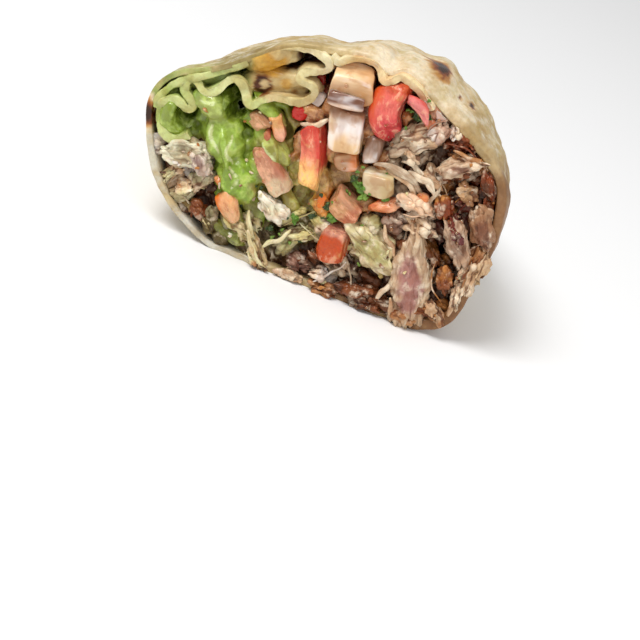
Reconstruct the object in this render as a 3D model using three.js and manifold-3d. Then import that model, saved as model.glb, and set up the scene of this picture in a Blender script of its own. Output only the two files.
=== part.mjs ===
// One half of a pulled-pork burrito, cut straight across and lying on its seam side.
// Millimetres, +Z up. The cut face looks along -Y and the folded end points along +Y.
// The origin is the middle of the bounding box's underside, on the surface it rests on.

import * as THREE from 'three';
import { mergeVertices } from 'three/addons/utils/BufferGeometryUtils.js';
import Module from 'manifold-3d';

const wasm = await Module();
wasm.setup();

// ---------- driving dimensions ----------

const LENGTH = 90;            // cut face to folded end
const SHEET = 1.5;            // flour tortilla, as rolled
const INNER_SHEET = 1.1;      // the same tortilla where it is stretched and gathered inside
const GAP = 0.3;              // between pieces that touch
const POCKET_GAP = 0.7;       // round a piece that sits in a pocket of the filling behind it
const END_RISE = 24;          // height of the folded end's tip
const SKEW = 5;               // sideways run of the folded end
const WIDTH_TAPER = 0.1;      // share of the width lost by the folded end
const HEIGHT_TAPER = 0.26;    // share of the height lost by the folded end
const WIDTH_BULGE = 0.03;     // swelling behind the cut, where the roll is fullest
const HEIGHT_BULGE = 0.06;
const HEIGHT_LEAN = 0.07;     // the swelling grows by this towards the right flank
const HALF_WIDTH = 46;
const BULGE_END = 0.5;        // share of the length by which the swelling has gone
const CAP_START = 0.34;       // share of the length where the end starts to round off
const FLAT_HEIGHT = 0.9;      // what lies lower than this is pressed flat by the weight
const EDGE_WAVE = 0.9;        // how far the cut edge strays from a true plane
const SEAM_STEP = 1.5;        // step where the tortilla's outer end overlaps itself
const PLEAT_DEPTH = 2.4;      // creases of the tucked-in end
const TUCK_LAYERS = 3.2;      // the wall is thicker by this at the end, where the sides fold in
const END_LAYERS = 8;         // folded layers between the filling and the end's tip
const OPEN_FRONT = 6;         // how far the shapes that hollow the roll reach past the cut
const FOLD_DEPTH = 34;        // how far the gathered sheets run into the filling
const FILL_FRONT = 2.4;       // the loose filling lies this far behind the cut
const RING_POINTS = 52;       // round the body
const RING_STEPS = 13;        // along the body's skin
const FILLING_STEPS = 6;      // along the filling
const GATHER_SPACING = 2.9;   // between the points along a gathered sheet's path

// ---------- materials ----------

function food(color, roughness) {
  return new THREE.MeshStandardMaterial({ color, roughness, metalness: 0 });
}

const TORTILLA = food(0xe6d8b6, 0.75);
const GUACAMOLE = food(0x8fa63c, 0.35);
const PORK = food(0xa07a5c, 0.6);
const SALSA = food(0xb98a5a, 0.35);
const TOMATO = food(0xd85a44, 0.25);
const ONION = food(0xe9dccb, 0.3);
const CILANTRO = food(0x4d7a35, 0.5);

// ---------- small tools ----------

const smoothstep = (a, b, x) => THREE.MathUtils.smoothstep(x, a, b);

// A smooth random wave over space, the same on every run: -1 to 1.
function ripple(x, y, z, seed) {
  const a = Math.sin(1.7 * x + 0.9 * z + 2.1 * seed);
  const b = Math.sin(2.3 * y - 1.1 * x + 1.3 * seed + 1);
  const c = Math.sin(1.9 * z + 1.6 * y + 0.7 * seed + 2);
  return (a + b + c + a * b * c) / 4;
}

function toSolid(geometry) {
  const bare = geometry.clone();
  bare.deleteAttribute('normal');
  bare.deleteAttribute('uv');
  const merged = mergeVertices(bare, 1e-4);
  const vertProperties = new Float32Array(merged.attributes.position.array);
  const triVerts = new Uint32Array(merged.index.array);
  return new wasm.Manifold(new wasm.Mesh({ numProp: 3, vertProperties, triVerts }));
}

function toGeometry(solid) {
  const mesh = solid.getMesh();
  const geometry = new THREE.BufferGeometry();
  geometry.setAttribute('position', new THREE.BufferAttribute(mesh.vertProperties, 3));
  geometry.setIndex(new THREE.BufferAttribute(mesh.triVerts, 1));
  geometry.computeVertexNormals();
  return geometry;
}

// The one body that counts, without the crumbs and pinholes that cutting leaves.
function largestBody(solid) {
  const bodies = toSolid(toGeometry(solid)).decompose();
  return bodies.reduce((best, body) => (body.volume() > best.volume() ? body : best));
}

// Triangles that fill a ring lying across X or across Y, wound the way the ring runs.
function filled(ring) {
  const acrossX = ring.every((p) => Math.abs(p.x - ring[0].x) < 1e-6);
  const flat = ring.map((p) => new THREE.Vector2(acrossX ? p.y : p.x, p.z));
  const faces = THREE.ShapeUtils.triangulateShape(flat, []);
  const first = faces[0].map((i) => flat[i]);
  const sameWay = THREE.ShapeUtils.area(first) * THREE.ShapeUtils.area(flat) > 0;
  return sameWay ? faces : faces.map(([a, b, c]) => [a, c, b]);
}

// A closed skin over a row of rings with equal counts of points, with both ends filled.
function skin(rings) {
  const count = rings[0].length;
  const index = [];
  for (let r = 0; r < rings.length - 1; r += 1) {
    const here = r * count;
    const next = here + count;
    for (let i = 0; i < count; i += 1) {
      const j = (i + 1) % count;
      index.push(here + i, next + i, next + j);
      index.push(here + i, next + j, here + j);
    }
  }
  const back = (rings.length - 1) * count;
  filled(rings[0]).forEach(([a, b, c]) => index.push(a, b, c));
  filled(rings[rings.length - 1]).forEach(([a, b, c]) => index.push(back + a, back + c, back + b));
  const geometry = new THREE.BufferGeometry();
  geometry.setFromPoints(rings.flat());
  geometry.setIndex(index);
  return geometry;
}

// ---------- the body's outer form ----------

// The cut edge of the outer layer, anticlockwise seen from the cut side, from the left flank.
const CUT_OUTLINE = [
  [-46, 34], [-44, 24], [-37.5, 12.3], [-25, 3.2], [-13, 0], [14, 0], [33, 1.6], [43.6, 6.2], [46.2, 18],
  [46.6, 33], [42.8, 46], [31, 54.5], [21, 59.4], [14.5, 63], [10.5, 64], [7, 62.2], [2.5, 63.8],
  [-5, 62.4], [-18, 58.6], [-31.4, 47.8], [-43, 40.5],
];

function closedPath(points, count) {
  const path = new THREE.CatmullRomCurve3(
    points.map(([x, z]) => new THREE.Vector3(x, 0, z)), true, 'centripetal',
  );
  return path.getSpacedPoints(count).slice(0, count);
}

// Moves each point of an anticlockwise ring inwards, by the depth given for its place in the ring.
function inset(ring, depthAt) {
  const count = ring.length;
  return ring.map((p, i) => {
    const before = ring[(i + count - 1) % count];
    const after = ring[(i + 1) % count];
    const along = after.clone().sub(before).normalize();
    const depth = depthAt(i / count);
    return new THREE.Vector3(p.x - along.z * depth, p.y, p.z + along.x * depth);
  });
}

function relaxed(ring, reach) {
  const count = ring.length;
  return ring.map((p, i) => {
    const sum = new THREE.Vector3();
    for (let k = -reach; k <= reach; k += 1) {
      sum.add(ring[(i + k + count) % count]);
    }
    return sum.divideScalar(2 * reach + 1);
  });
}

const cutRing = closedPath(CUT_OUTLINE, RING_POINTS);
const innerCutRing = relaxed(cutRing, 4);
const SEAM = 0.385;           // place of the seam along the ring, low on the right
const SEAM_FADE = 0.3;        // share of the ring over which the overlap thins out
const PLEATS = [0.06, 0.24, 0.47, 0.7, 0.88];
const PLEAT_WIDTH = 0.13;

// How far the surface stands out of the plain form: the seam's overlap and the end's tucks.
function relief(share, t) {
  const past = (share - SEAM + 1) % 1;
  const overlap = past < SEAM_FADE ? SEAM_STEP * (1 - past / SEAM_FADE) : 0;
  let tucks = 0;
  for (const [k, place] of PLEATS.entries()) {
    const across = (share - place + 1) % 1;
    const start = 0.5 + 0.08 * (k % 3);
    if (across < PLEAT_WIDTH) {
      tucks += PLEAT_DEPTH * (1 - across / PLEAT_WIDTH) * smoothstep(start, start + 0.3, t);
    }
  }
  return overlap * (1 - 0.5 * t) - tucks;
}

// The scale of the section at the share t of the length: full, then rounding off to nothing.
function capScale(t) {
  const late = Math.max(0, (t - CAP_START) / (1 - CAP_START));
  return (1 - late ** 2.5) ** (1 / 2.2);
}

// Places one point of a cut-face ring at the share t of the body's length.
function placeInBody(p, t, length) {
  const cap = capScale(t);
  const swell = Math.sin(Math.PI * Math.min(1, t / BULGE_END)) ** 0.8;
  const rise = HEIGHT_BULGE + HEIGHT_LEAN * (p.x / HALF_WIDTH);
  const x = SKEW * t + p.x * (1 + WIDTH_BULGE * swell - WIDTH_TAPER * t) * cap;
  const z = END_RISE * (1 - cap) + p.z * (1 + rise * swell - HEIGHT_TAPER * t) * cap;
  return new THREE.Vector3(x, t * length + p.y, z);
}

// One ring of the body, `depth` under its surface, at the share t of `length`.
function bodyRing(depth, t, length) {
  const settle = smoothstep(0, 0.3, t);
  const shape = cutRing.map((p, i) => p.clone().lerp(innerCutRing[i], settle));
  const tucked = TUCK_LAYERS * smoothstep(0.4, 0.75, t);
  const ring = inset(shape, (share) => depth + (depth > 0 ? tucked : -relief(share, t)));
  return ring.map((p) => {
    const point = placeInBody(p, t, length);
    point.z = Math.max(point.z, FLAT_HEIGHT + depth);
    return point;
  });
}

// Rings from the cut, moved by `front`, to the folded end, closer together where it rounds off.
function bodyRings(depth, front, length, steps) {
  const rings = [];
  for (let k = 0; k < steps; k += 1) {
    const t = 0.998 * Math.sin((k / (steps - 1)) * Math.PI * 0.5) ** 1.15;
    rings.push(bodyRing(depth, t, length));
  }
  rings[0].forEach((p) => {
    p.y += front;
  });
  return rings;
}

// The inside of the roll at `depth` under its skin, open well past the cut.
function innerRings(depth) {
  return bodyRings(depth, -OPEN_FRONT, LENGTH - END_LAYERS - (depth - SHEET), FILLING_STEPS);
}

// ---------- tortilla: the rolled wall and the ends gathered inside it ----------

function tortillaWall(extra) {
  const outer = bodyRings(-extra, -extra, LENGTH + extra, RING_STEPS);
  const hollow = innerRings(SHEET + extra);
  outer[0].forEach((p) => {
    p.y += EDGE_WAVE * ripple(p.x * 0.12, 0, p.z * 0.16, 3);
  });
  return toSolid(skin(outer)).subtract(toSolid(skin(hollow)));
}

// One side of a sheet of even thickness along `line`, kept from crossing itself in tight folds.
function sheetSide(line, side, thickness, ends) {
  const last = line.length - 1;
  return line.map((p, i) => {
    const into = p.clone().sub(line[Math.max(i - 1, 0)]);
    const out = line[Math.min(i + 1, last)].clone().sub(p);
    const along = into.clone().normalize().add(out.clone().normalize()).normalize();
    const turn = i === 0 || i === last ? 0 : into.angleTo(out);
    const room = 0.48 * Math.min(into.length() || Infinity, out.length() || Infinity);
    const inside = side * (into.z * out.x - into.x * out.z) > 0;
    const reach = inside ? Math.min(thickness / 2, room / Math.tan(turn / 2 + 1e-6)) : thickness / 2;
    const push = ends * (i === 0 ? -1 : Number(i === last));
    return new THREE.Vector3(
      p.x + side * along.z * reach + along.x * push,
      0,
      p.z - side * along.x * reach + along.z * push,
    );
  });
}

// A sheet that follows an open path across the cut and runs back into the body.
function gatheredSheet(path, front, depth, extra) {
  const curve = new THREE.CatmullRomCurve3(
    path.map(([x, z]) => new THREE.Vector3(x, 0, z)), false, 'centripetal',
  );
  const line = curve.getSpacedPoints(Math.ceil(curve.getLength() / GATHER_SPACING));
  const thickness = INNER_SHEET + 2 * extra;
  const outline = [
    ...sheetSide(line, 1, thickness, extra),
    ...sheetSide(line, -1, thickness, extra).reverse(),
  ];
  const section = (y, stretch) => outline.map((p) => {
    const point = placeInBody(p, y / LENGTH, 0);
    point.y = y + stretch;
    return point;
  });
  const rings = extra > 0 ? [section(0, -OPEN_FRONT)] : [];
  rings.push(section(0, front), section(depth, extra));
  return toSolid(skin(rings));
}

// The gathers start in the wall at the top and hang in folds over the left of the filling.
const LEFT_GATHER = [
  [-18.5, 58.4], [-14, 57.2], [-8.6, 58], [-8, 55.8], [-12.6, 53.8], [-11.8, 51.6], [-8.8, 49.4],
  [-10, 46.2], [-15, 44.6], [-20.5, 43.8], [-23.2, 41.6], [-25.6, 44.8], [-29, 42.4], [-33.2, 42.6],
  [-36.6, 41.4], [-35.2, 37], [-37.2, 34.4], [-40.4, 35.8], [-42.4, 32.6], [-41.6, 28], [-38.2, 25.8],
  [-34.8, 27.6],
];
const RIGHT_GATHER = [
  [-5.2, 62.4], [-3.8, 59.6], [-1, 61.4], [3.4, 61.4], [5, 59], [7.6, 58.6], [10, 60.6], [13, 61.2],
  [15, 58.6], [18, 57.2], [22, 58.4],
];

function gathers(extra) {
  const left = gatheredSheet(LEFT_GATHER, -0.5, FOLD_DEPTH, extra);
  return left.add(gatheredSheet(RIGHT_GATHER, 0.2, FOLD_DEPTH * 0.8, extra));
}

// ---------- pieces of filling ----------

// A cut or torn piece about its own centre: a rounded block (square = 0.45 is boxy, 1 is round)
// with uneven faces. Grain over 0 gives it ridges that run along its length, as meat fibres do.
function lump({ size, square = 0.6, detail = 2, seed = 1, rough = 0.08, grain = 0, bend = 0 }, extra = 0) {
  const shape = mergeVertices(bareSphere(detail), 1e-4);
  const points = shape.attributes.position;
  const [w, d, h] = size;
  for (let i = 0; i < points.count; i += 1) {
    const p = new THREE.Vector3().fromBufferAttribute(points, i).normalize();
    const round = (v) => Math.sign(v) * Math.abs(v) ** square;
    const uneven = 1 + rough * ripple(2 * p.x, 2 * p.y, 2 * p.z, seed);
    const ridge = 1 + grain * Math.sin(9 * Math.atan2(p.y, p.z) + 1.5 * p.x + seed);
    const x = round(p.x) * uneven * (w / 2 + extra);
    const y = round(p.y) * uneven * ridge * (d / 2 + extra);
    const z = round(p.z) * uneven * ridge * (h / 2 + extra);
    points.setXYZ(i, x, y, z + bend * ((2 * x / w) ** 2 - 0.5));
  }
  return shape;
}

function bareSphere(detail) {
  const sphere = new THREE.IcosahedronGeometry(1, detail);
  sphere.deleteAttribute('normal');
  sphere.deleteAttribute('uv');
  return sphere;
}

// Turns a piece by `turn` degrees in the cut face and `lean` degrees into it, then places it.
function placed(piece, extra = 0) {
  const { at, turn = 0, lean = 0 } = piece;
  const shape = lump(piece, extra);
  shape.rotateX(THREE.MathUtils.degToRad(lean));
  shape.rotateY(THREE.MathUtils.degToRad(-turn));
  shape.translate(at[0], at[1], at[2]);
  return toSolid(shape);
}

function joined(pieces, extra) {
  return pieces.map((piece) => placed(piece, extra)).reduce((sum, solid) => sum.add(solid));
}

// Size is length, depth and height before turning; at is x, y into the burrito, and z.
const TOMATOES = [
  { size: [16.5, 9, 8.4], at: [11, 3.4, 54.2], turn: -85, square: 0.7, rough: 0.12, seed: 2 },
  { size: [9, 6, 4.4], at: [15.6, 2.2, 56.6], turn: -20, square: 0.6, seed: 3, detail: 1 },
  { size: [18, 8, 6.4], at: [-2.6, 3.2, 34.2], turn: -74, square: 0.75, rough: 0.14, seed: 4 },
  { size: [4.4, 5, 4], at: [-9.8, 2.6, 43.2], turn: 20, square: 0.6, seed: 5, detail: 1 },
  { size: [13.4, 7, 6], at: [-10.8, 2.6, 26.6], turn: -42, square: 0.62, rough: 0.1, seed: 6, detail: 1 },
  { size: [8.2, 6, 4.6], at: [-18, 2, 13.4], turn: -56, square: 0.65, seed: 7, detail: 1 },
  { size: [9.6, 8, 7.4], at: [10.2, 2.6, 14.6], turn: -84, square: 0.45, rough: 0.05, seed: 8 },
  { size: [7, 7, 6.4], at: [-18.2, 3.2, 37], turn: -20, square: 0.6, rough: 0.12, seed: 9, detail: 1 },
  { size: [7.4, 6, 4.6], at: [-13.6, 2.6, 37.4], turn: -45, square: 0.65, seed: 10, detail: 1 },
  { size: [8, 7, 7], at: [9.6, 3, 25.4], turn: -24, square: 0.62, rough: 0.12, seed: 11, detail: 1 },
  { size: [8.2, 6, 4.2], at: [18.2, 2.4, 29.4], turn: 28, square: 0.6, rough: 0.12, seed: 12, detail: 1 },
];

const ONIONS = [
  { size: [10.6, 8, 8.6], at: [-0.6, 3.4, 55], turn: 14, square: 0.55, rough: 0.08, seed: 21, detail: 1 },
  { size: [12.6, 9, 8.4], at: [2.2, 3, 43.8], turn: -76, square: 0.55, rough: 0.08, seed: 22 },
  { size: [6.6, 6, 4.6], at: [4.8, 2.6, 36.2], turn: 22, square: 0.6, seed: 23, detail: 1 },
  { size: [8.4, 6, 4.8], at: [9.8, 3, 41.2], turn: -86, square: 0.6, seed: 24, detail: 1 },
  { size: [8.6, 7, 7.4], at: [14.6, 2.8, 34.8], turn: 10, square: 0.68, rough: 0.12, seed: 25, detail: 1 },
  { size: [5, 6, 4.8], at: [19.8, 2.4, 57.8], turn: -30, square: 0.6, seed: 26, detail: 1 },
];

// Shreds and chunks of pork that show at the cut, fused to the heap behind them.
const PORK_CHUNKS = [
  { size: [15.5, 8, 8], at: [19.6, 2.2, 48.6], turn: 36, grain: 0.12, rough: 0.2, seed: 31, detail: 1 },
  { size: [8.4, 6, 4.6], at: [30.8, 1.2, 51], turn: -8, grain: 0.12, rough: 0.2, seed: 33, detail: 1 },
  { size: [11, 6, 3.4], at: [33.2, 0.8, 47.8], turn: 8, grain: 0.1, rough: 0.1, seed: 34, detail: 1 },
  { size: [13, 6, 4.6], at: [19.4, 1.2, 38.4], turn: -12, bend: 1.4, grain: 0.12, seed: 35, detail: 1 },
  { size: [9, 6, 4.6], at: [26.2, 1, 40], turn: -24, grain: 0.12, seed: 36, detail: 1 },
  { size: [9, 7, 5], at: [32, 2.2, 43.6], turn: 16, grain: 0.12, rough: 0.2, seed: 37, detail: 1 },
  { size: [12, 7, 5], at: [40.2, 1.4, 43], turn: -58, grain: 0.12, rough: 0.2, seed: 38, detail: 1 },
  { size: [9, 6, 5], at: [25.4, 1.6, 32.8], turn: -4, grain: 0.1, rough: 0.2, seed: 39, detail: 1 },
  { size: [8, 6, 6], at: [29.8, 1, 27.4], turn: 6, grain: 0.1, rough: 0.2, seed: 40, detail: 1 },
  { size: [12.4, 5, 4], at: [38.2, 0.4, 25.8], turn: -46, grain: 0.12, rough: 0.15, seed: 42, detail: 1 },
  { size: [11.4, 6, 4.4], at: [41, 1.2, 33.4], turn: -62, grain: 0.12, seed: 43, detail: 1 },
  { size: [9, 6, 5.4], at: [39.2, 0.8, 16.6], turn: -56, grain: 0.1, rough: 0.2, seed: 44, detail: 1 },
  { size: [22.5, 6, 9.6], at: [30.4, 0.8, 14.4], turn: -76, square: 0.7, grain: 0.08, seed: 45 },
  { size: [15, 7, 8.6], at: [19.8, 1.8, 17.6], turn: -32, grain: 0.12, rough: 0.2, seed: 46, detail: 1 },
  { size: [11, 5, 4.4], at: [0.4, 1.2, 12.6], turn: 40, bend: 0.8, grain: 0.12, seed: 47, detail: 1 },
  { size: [9.4, 6, 5], at: [3, 1.8, 5.8], turn: 10, grain: 0.12, rough: 0.2, seed: 48, detail: 1 },
  { size: [12.4, 6.4, 4], at: [-8.4, 0.1, 7.2], turn: -52, grain: 0.12, seed: 49, detail: 1 },
  { size: [12, 7, 7], at: [-32.2, 1.8, 19.8], turn: 50, grain: 0.12, rough: 0.2, seed: 50, detail: 1 },
  { size: [9.6, 6, 5], at: [-26.6, 1.2, 17.6], turn: -36, grain: 0.12, rough: 0.2, seed: 51, detail: 1 },
  { size: [10, 6, 4.4], at: [-22.4, 1.8, 8], turn: -16, grain: 0.12, seed: 53, detail: 1 },
  { size: [8.6, 6, 4.6], at: [-13.2, 0.8, 8.6], turn: -22, grain: 0.12, rough: 0.2, seed: 54, detail: 1 },
  { size: [10, 7, 5], at: [23.6, 2.2, 5.6], turn: 4, grain: 0.12, rough: 0.2, seed: 56, detail: 1 },
  { size: [9, 6, 4.6], at: [38.6, 1.4, 8.6], turn: 14, grain: 0.12, rough: 0.2, seed: 57, detail: 1 },
];

// Spoonfuls of guacamole that bulge at the cut.
const GUACAMOLE_BLOBS = [
  { size: [11, 8, 8.6], at: [-25.6, 1.6, 28.6], turn: -20, square: 0.9, rough: 0.12, seed: 61, detail: 1 },
  { size: [12.4, 8, 8], at: [-18.2, 1, 20.8], turn: -30, square: 0.9, rough: 0.12, seed: 62, detail: 1 },
  { size: [14, 7, 7], at: [-13, 2.4, 31.6], turn: -24, square: 0.9, rough: 0.15, seed: 63, detail: 1 },
  { size: [10, 8, 7.4], at: [-27.6, 2.2, 37.4], turn: -20, square: 0.85, rough: 0.15, seed: 64, detail: 1 },
];

// Torn cilantro leaves: thin wavy blades pressed into the filling.
const LEAVES = [
  { length: 6, width: 4, at: [10.2, -0.9, 32], turn: -30 },
  { length: 5.6, width: 2.8, at: [6.6, -0.9, 21.6], turn: 14 },
  { length: 4.2, width: 2.4, at: [17.6, -1.6, 53.6], turn: -10 },
];
const LEAF_THICKNESS = 0.5;

function leaf({ length, width, at, turn }, extra) {
  const steps = 5;
  const rings = [];
  for (let k = 0; k <= steps; k += 1) {
    const u = k / steps;
    const half = extra + Math.max(0.25, (width / 2) * Math.sin(Math.PI * (0.08 + 0.84 * u)) ** 0.8);
    const ruffle = 0.5 * Math.sin(5 * u);
    const x = (u - 0.5) * (length + 2 * extra);
    const across = [-1, -0.33, 0.33, 1].map((v) => {
      const curl = 0.3 * Math.sin(4 * v + 6 * u);
      return { z: v * half, y: ruffle + curl };
    });
    const halfThick = LEAF_THICKNESS / 2 + extra;
    const front = across.map(({ y, z }) => new THREE.Vector3(x, y - halfThick, z));
    const back = across.map(({ y, z }) => new THREE.Vector3(x, y + halfThick, z));
    rings.push([...front, ...back.reverse()]);
  }
  const blade = skin(rings);
  blade.rotateY(THREE.MathUtils.degToRad(-turn));
  blade.translate(at[0], at[1], at[2]);
  return toSolid(blade);
}

// ---------- the filling's layers, which run through the roll ----------

// A block from well in front of the cut to `back`, with an outline in the cut face.
function layerBlock(points, back = LENGTH + 10) {
  const outline = new THREE.Shape(points.map(([x, z]) => new THREE.Vector2(x, z)));
  const block = new THREE.ExtrudeGeometry(outline, { depth: back + 10, bevelEnabled: false });
  block.rotateX(Math.PI / 2);
  block.translate(0, back, 0);
  return toSolid(block);
}

// The space before a layer's uneven front face, to be cut away from it. It is wider and taller
// than the roll, so only its back face, a grid with bumps up to `height`, meets the filling.
function spaceBefore(front, height, seed) {
  const [width, depth, tall] = [110, 30, 80];
  const [columns, rows] = [10, 7];
  const slab = new THREE.BoxGeometry(width, depth, tall, columns, 1, rows);
  slab.translate(0, front - depth / 2, tall * 0.4);
  const points = slab.attributes.position;
  for (let i = 0; i < points.count; i += 1) {
    if (points.getY(i) > front - 1) {
      const bump = height * ripple(points.getX(i) * 0.4, 0, points.getZ(i) * 0.4, seed);
      points.setY(i, points.getY(i) + bump);
    }
  }
  return toSolid(slab);
}

// Where each layer shows in the cut face: guacamole on the left, salsa up the middle, and pork
// in all that is left.
const GUACAMOLE_AREA = [
  [-50, 23.4], [-33, 23.4], [-27, 19], [-21, 13], [-19, 5], [-9, 5], [-8.6, 14], [-4, 16], [-6, 24],
  [-9, 38], [-6.9, 45], [-6.9, 70], [-50, 70],
];
const SALSA_AREA = [
  [-6.5, 70], [-6.5, 45], [-8.6, 38], [-5.7, 24], [-3.7, 16.5], [12, 22], [20, 27], [22.5, 34], [14, 44],
  [12, 49], [22, 56], [26, 70],
];

// The top left of the cut, above the left gather, is tortilla pressed into one thick fold.
const THICK_FOLD_AREA = [
  [-38, 44], [-33, 42.6], [-29, 42.6], [-25.6, 44.8], [-23, 42], [-20.5, 43.8], [-15, 44.8], [-10.6, 46.4],
  [-10.4, 49.6], [-13.4, 51.6], [-13.8, 54], [-17, 56.4], [-18.5, 62], [-36, 60],
];

// The same area with a gap added all round.
function grown(points) {
  const ring = points.map(([x, z]) => new THREE.Vector3(x, 0, z));
  return inset(ring, () => -GAP).map((p) => [p.x, p.z]);
}

// ---------- putting it together ----------

const burrito = new THREE.Group();

function addNode(name, solid, material) {
  const mesh = new THREE.Mesh(toGeometry(largestBody(solid)), material);
  mesh.name = name;
  burrito.add(mesh);
}

const numbered = (name, k) => `${name}_${String(k + 1).padStart(2, '0')}`;

// The gathers reach into the wall, so only what lies inside the body's skin is kept of them.
const withinSkin = toSolid(skin(innerRings(SHEET / 2)));
const thickFold = layerBlock(THICK_FOLD_AREA, FOLD_DEPTH - 1).subtract(spaceBefore(0.6, 1, 20));
addNode('tortilla', tortillaWall(0).add(gathers(0).add(thickFold).intersect(withinSkin)), TORTILLA);

// Each piece is cut clear of those before it. `taken` is their exact room, and `pockets` a
// plainer and looser one for the layers that they sit in.
const wallRoom = tortillaWall(GAP);
let taken = gathers(GAP).add(layerBlock(grown(THICK_FOLD_AREA), FOLD_DEPTH));
let pockets = taken;
const dice = [
  ...TOMATOES.map((piece, k) => ({ piece, name: numbered('tomato', k), material: TOMATO })),
  ...ONIONS.map((piece, k) => ({ piece, name: numbered('onion', k), material: ONION })),
];
for (const { piece, name, material } of dice) {
  addNode(name, placed(piece).subtract(taken).subtract(wallRoom), material);
  taken = taken.add(placed(piece, GAP));
  pockets = pockets.add(placed({ ...piece, detail: 1 }, POCKET_GAP));
}

for (const [k, spec] of LEAVES.entries()) {
  addNode(numbered('cilantro', k), leaf(spec, 0).subtract(taken), CILANTRO);
  taken = taken.add(leaf(spec, GAP));
}

const filling = toSolid(skin(innerRings(SHEET + GAP))).subtract(pockets);
const chunkRoom = joined(PORK_CHUNKS, GAP);
const blobRoom = joined(GUACAMOLE_BLOBS, GAP);

const guacamole = filling.intersect(layerBlock(GUACAMOLE_AREA))
  .subtract(spaceBefore(FILL_FRONT, 0.8, 4))
  .subtract(chunkRoom)
  .add(joined(GUACAMOLE_BLOBS, 0).subtract(taken).subtract(wallRoom));
addNode('guacamole', guacamole, GUACAMOLE);

const pork = filling.subtract(layerBlock(grown(GUACAMOLE_AREA)))
  .subtract(layerBlock(grown(SALSA_AREA)))
  .subtract(spaceBefore(FILL_FRONT, 1.2, 9))
  .add(joined(PORK_CHUNKS, 0).subtract(taken).subtract(wallRoom))
  .subtract(blobRoom);
addNode('pulled_pork', pork, PORK);

const salsa = filling.intersect(layerBlock(SALSA_AREA))
  .subtract(spaceBefore(FILL_FRONT + 1, 0.8, 14))
  .subtract(chunkRoom)
  .subtract(blobRoom);
addNode('salsa', salsa, SALSA);

burrito.updateMatrixWorld(true);
const box = new THREE.Box3().setFromObject(burrito);
burrito.position.set(-(box.min.x + box.max.x) / 2, -(box.min.y + box.max.y) / 2, -box.min.z);

export default burrito;
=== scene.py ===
import math

import bpy
import numpy as np
from mathutils import Matrix, Vector, noise


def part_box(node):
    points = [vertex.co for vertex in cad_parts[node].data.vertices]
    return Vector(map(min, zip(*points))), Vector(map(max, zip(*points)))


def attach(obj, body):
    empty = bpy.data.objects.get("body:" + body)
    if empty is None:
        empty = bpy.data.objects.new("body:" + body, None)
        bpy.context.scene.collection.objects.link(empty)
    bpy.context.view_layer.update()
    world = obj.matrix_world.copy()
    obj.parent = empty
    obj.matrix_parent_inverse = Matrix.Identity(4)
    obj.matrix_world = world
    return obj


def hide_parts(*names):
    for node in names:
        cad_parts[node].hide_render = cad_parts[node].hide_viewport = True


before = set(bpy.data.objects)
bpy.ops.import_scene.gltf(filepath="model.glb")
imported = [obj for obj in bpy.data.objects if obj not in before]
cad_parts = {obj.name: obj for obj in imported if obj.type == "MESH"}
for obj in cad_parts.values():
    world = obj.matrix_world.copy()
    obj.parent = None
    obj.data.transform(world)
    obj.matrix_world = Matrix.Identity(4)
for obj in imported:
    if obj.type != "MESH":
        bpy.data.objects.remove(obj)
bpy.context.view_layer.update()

# ---------- camera, floor and light ----------
# The camera looks down on the cut face through a long lens, and is rolled to one side.
# The half burrito lies on a plain pale floor under soft studio lamps.

MM = 0.001
TIP = 0.998                    # share of the roll's length where its skin closes
LENGTH = 90.0                  # mm, cut face to folded end
# The middle of the cut face's foot: sizes below are mm to the right, into the roll and up from it.
CUT = Vector((-0.001149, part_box("tortilla")[1].y - TIP * LENGTH * MM, -0.0009))
TABLE = -CUT.z / MM            # mm, height of the surface it lies on

DISTANCE = 0.4
DOWN = math.radians(20)
ROLL = math.radians(22)
LENS = 90
SENSOR = 36
IMAGE = 640
AIM_POINT = Vector((0.0025, 0, 0.03)) + CUT
AIM_PIXEL = (327, 180)         # where that point lands in the frame

backwards = Vector((0, -math.cos(DOWN), math.sin(DOWN)))
level = Vector((1, 0, 0))
upright = level.cross(-backwards)
right = math.cos(ROLL) * level + math.sin(ROLL) * upright
up = math.cos(ROLL) * upright - math.sin(ROLL) * level
pixel = DISTANCE * SENSOR / (LENS * IMAGE)
stand = AIM_POINT + DISTANCE * backwards
middle = AIM_POINT - (AIM_PIXEL[0] - IMAGE / 2) * pixel * right + (AIM_PIXEL[1] - IMAGE / 2) * pixel * up
ahead = (middle - stand).normalized()
right = (right - right.dot(ahead) * ahead).normalized()
up = right.cross(ahead)

lens = bpy.data.cameras.new("camera")
lens.lens = LENS
lens.sensor_width = SENSOR
lens.clip_start = 0.01
camera = bpy.data.objects.new("camera", lens)
bpy.context.scene.collection.objects.link(camera)
camera.matrix_world = Matrix((
    (right.x, up.x, -ahead.x, stand.x),
    (right.y, up.y, -ahead.y, stand.y),
    (right.z, up.z, -ahead.z, stand.z),
    (0, 0, 0, 1),
))
bpy.context.scene.camera = camera
bpy.context.scene.view_settings.view_transform = "Standard"


def add(tree, kind, values=None, **settings):
    """A shader node, with its settings, and its sockets set to values or joined to other sockets."""
    made = tree.nodes.new("ShaderNode" + kind)
    for key, value in settings.items():
        setattr(made, key, value)
    for key, value in (values or {}).items():
        if isinstance(value, bpy.types.NodeSocket):
            tree.links.new(value, made.inputs[key])
        else:
            made.inputs[key].default_value = value
    return made


def new_finish(name, sockets):
    """A material with its Principled shader, the shader's own sockets set."""
    finish = bpy.data.materials.new(name)
    finish.use_nodes = True
    shader = finish.node_tree.nodes["Principled BSDF"]
    for key, value in sockets.items():
        shader.inputs[key].default_value = value
    return finish, finish.node_tree, shader


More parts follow.
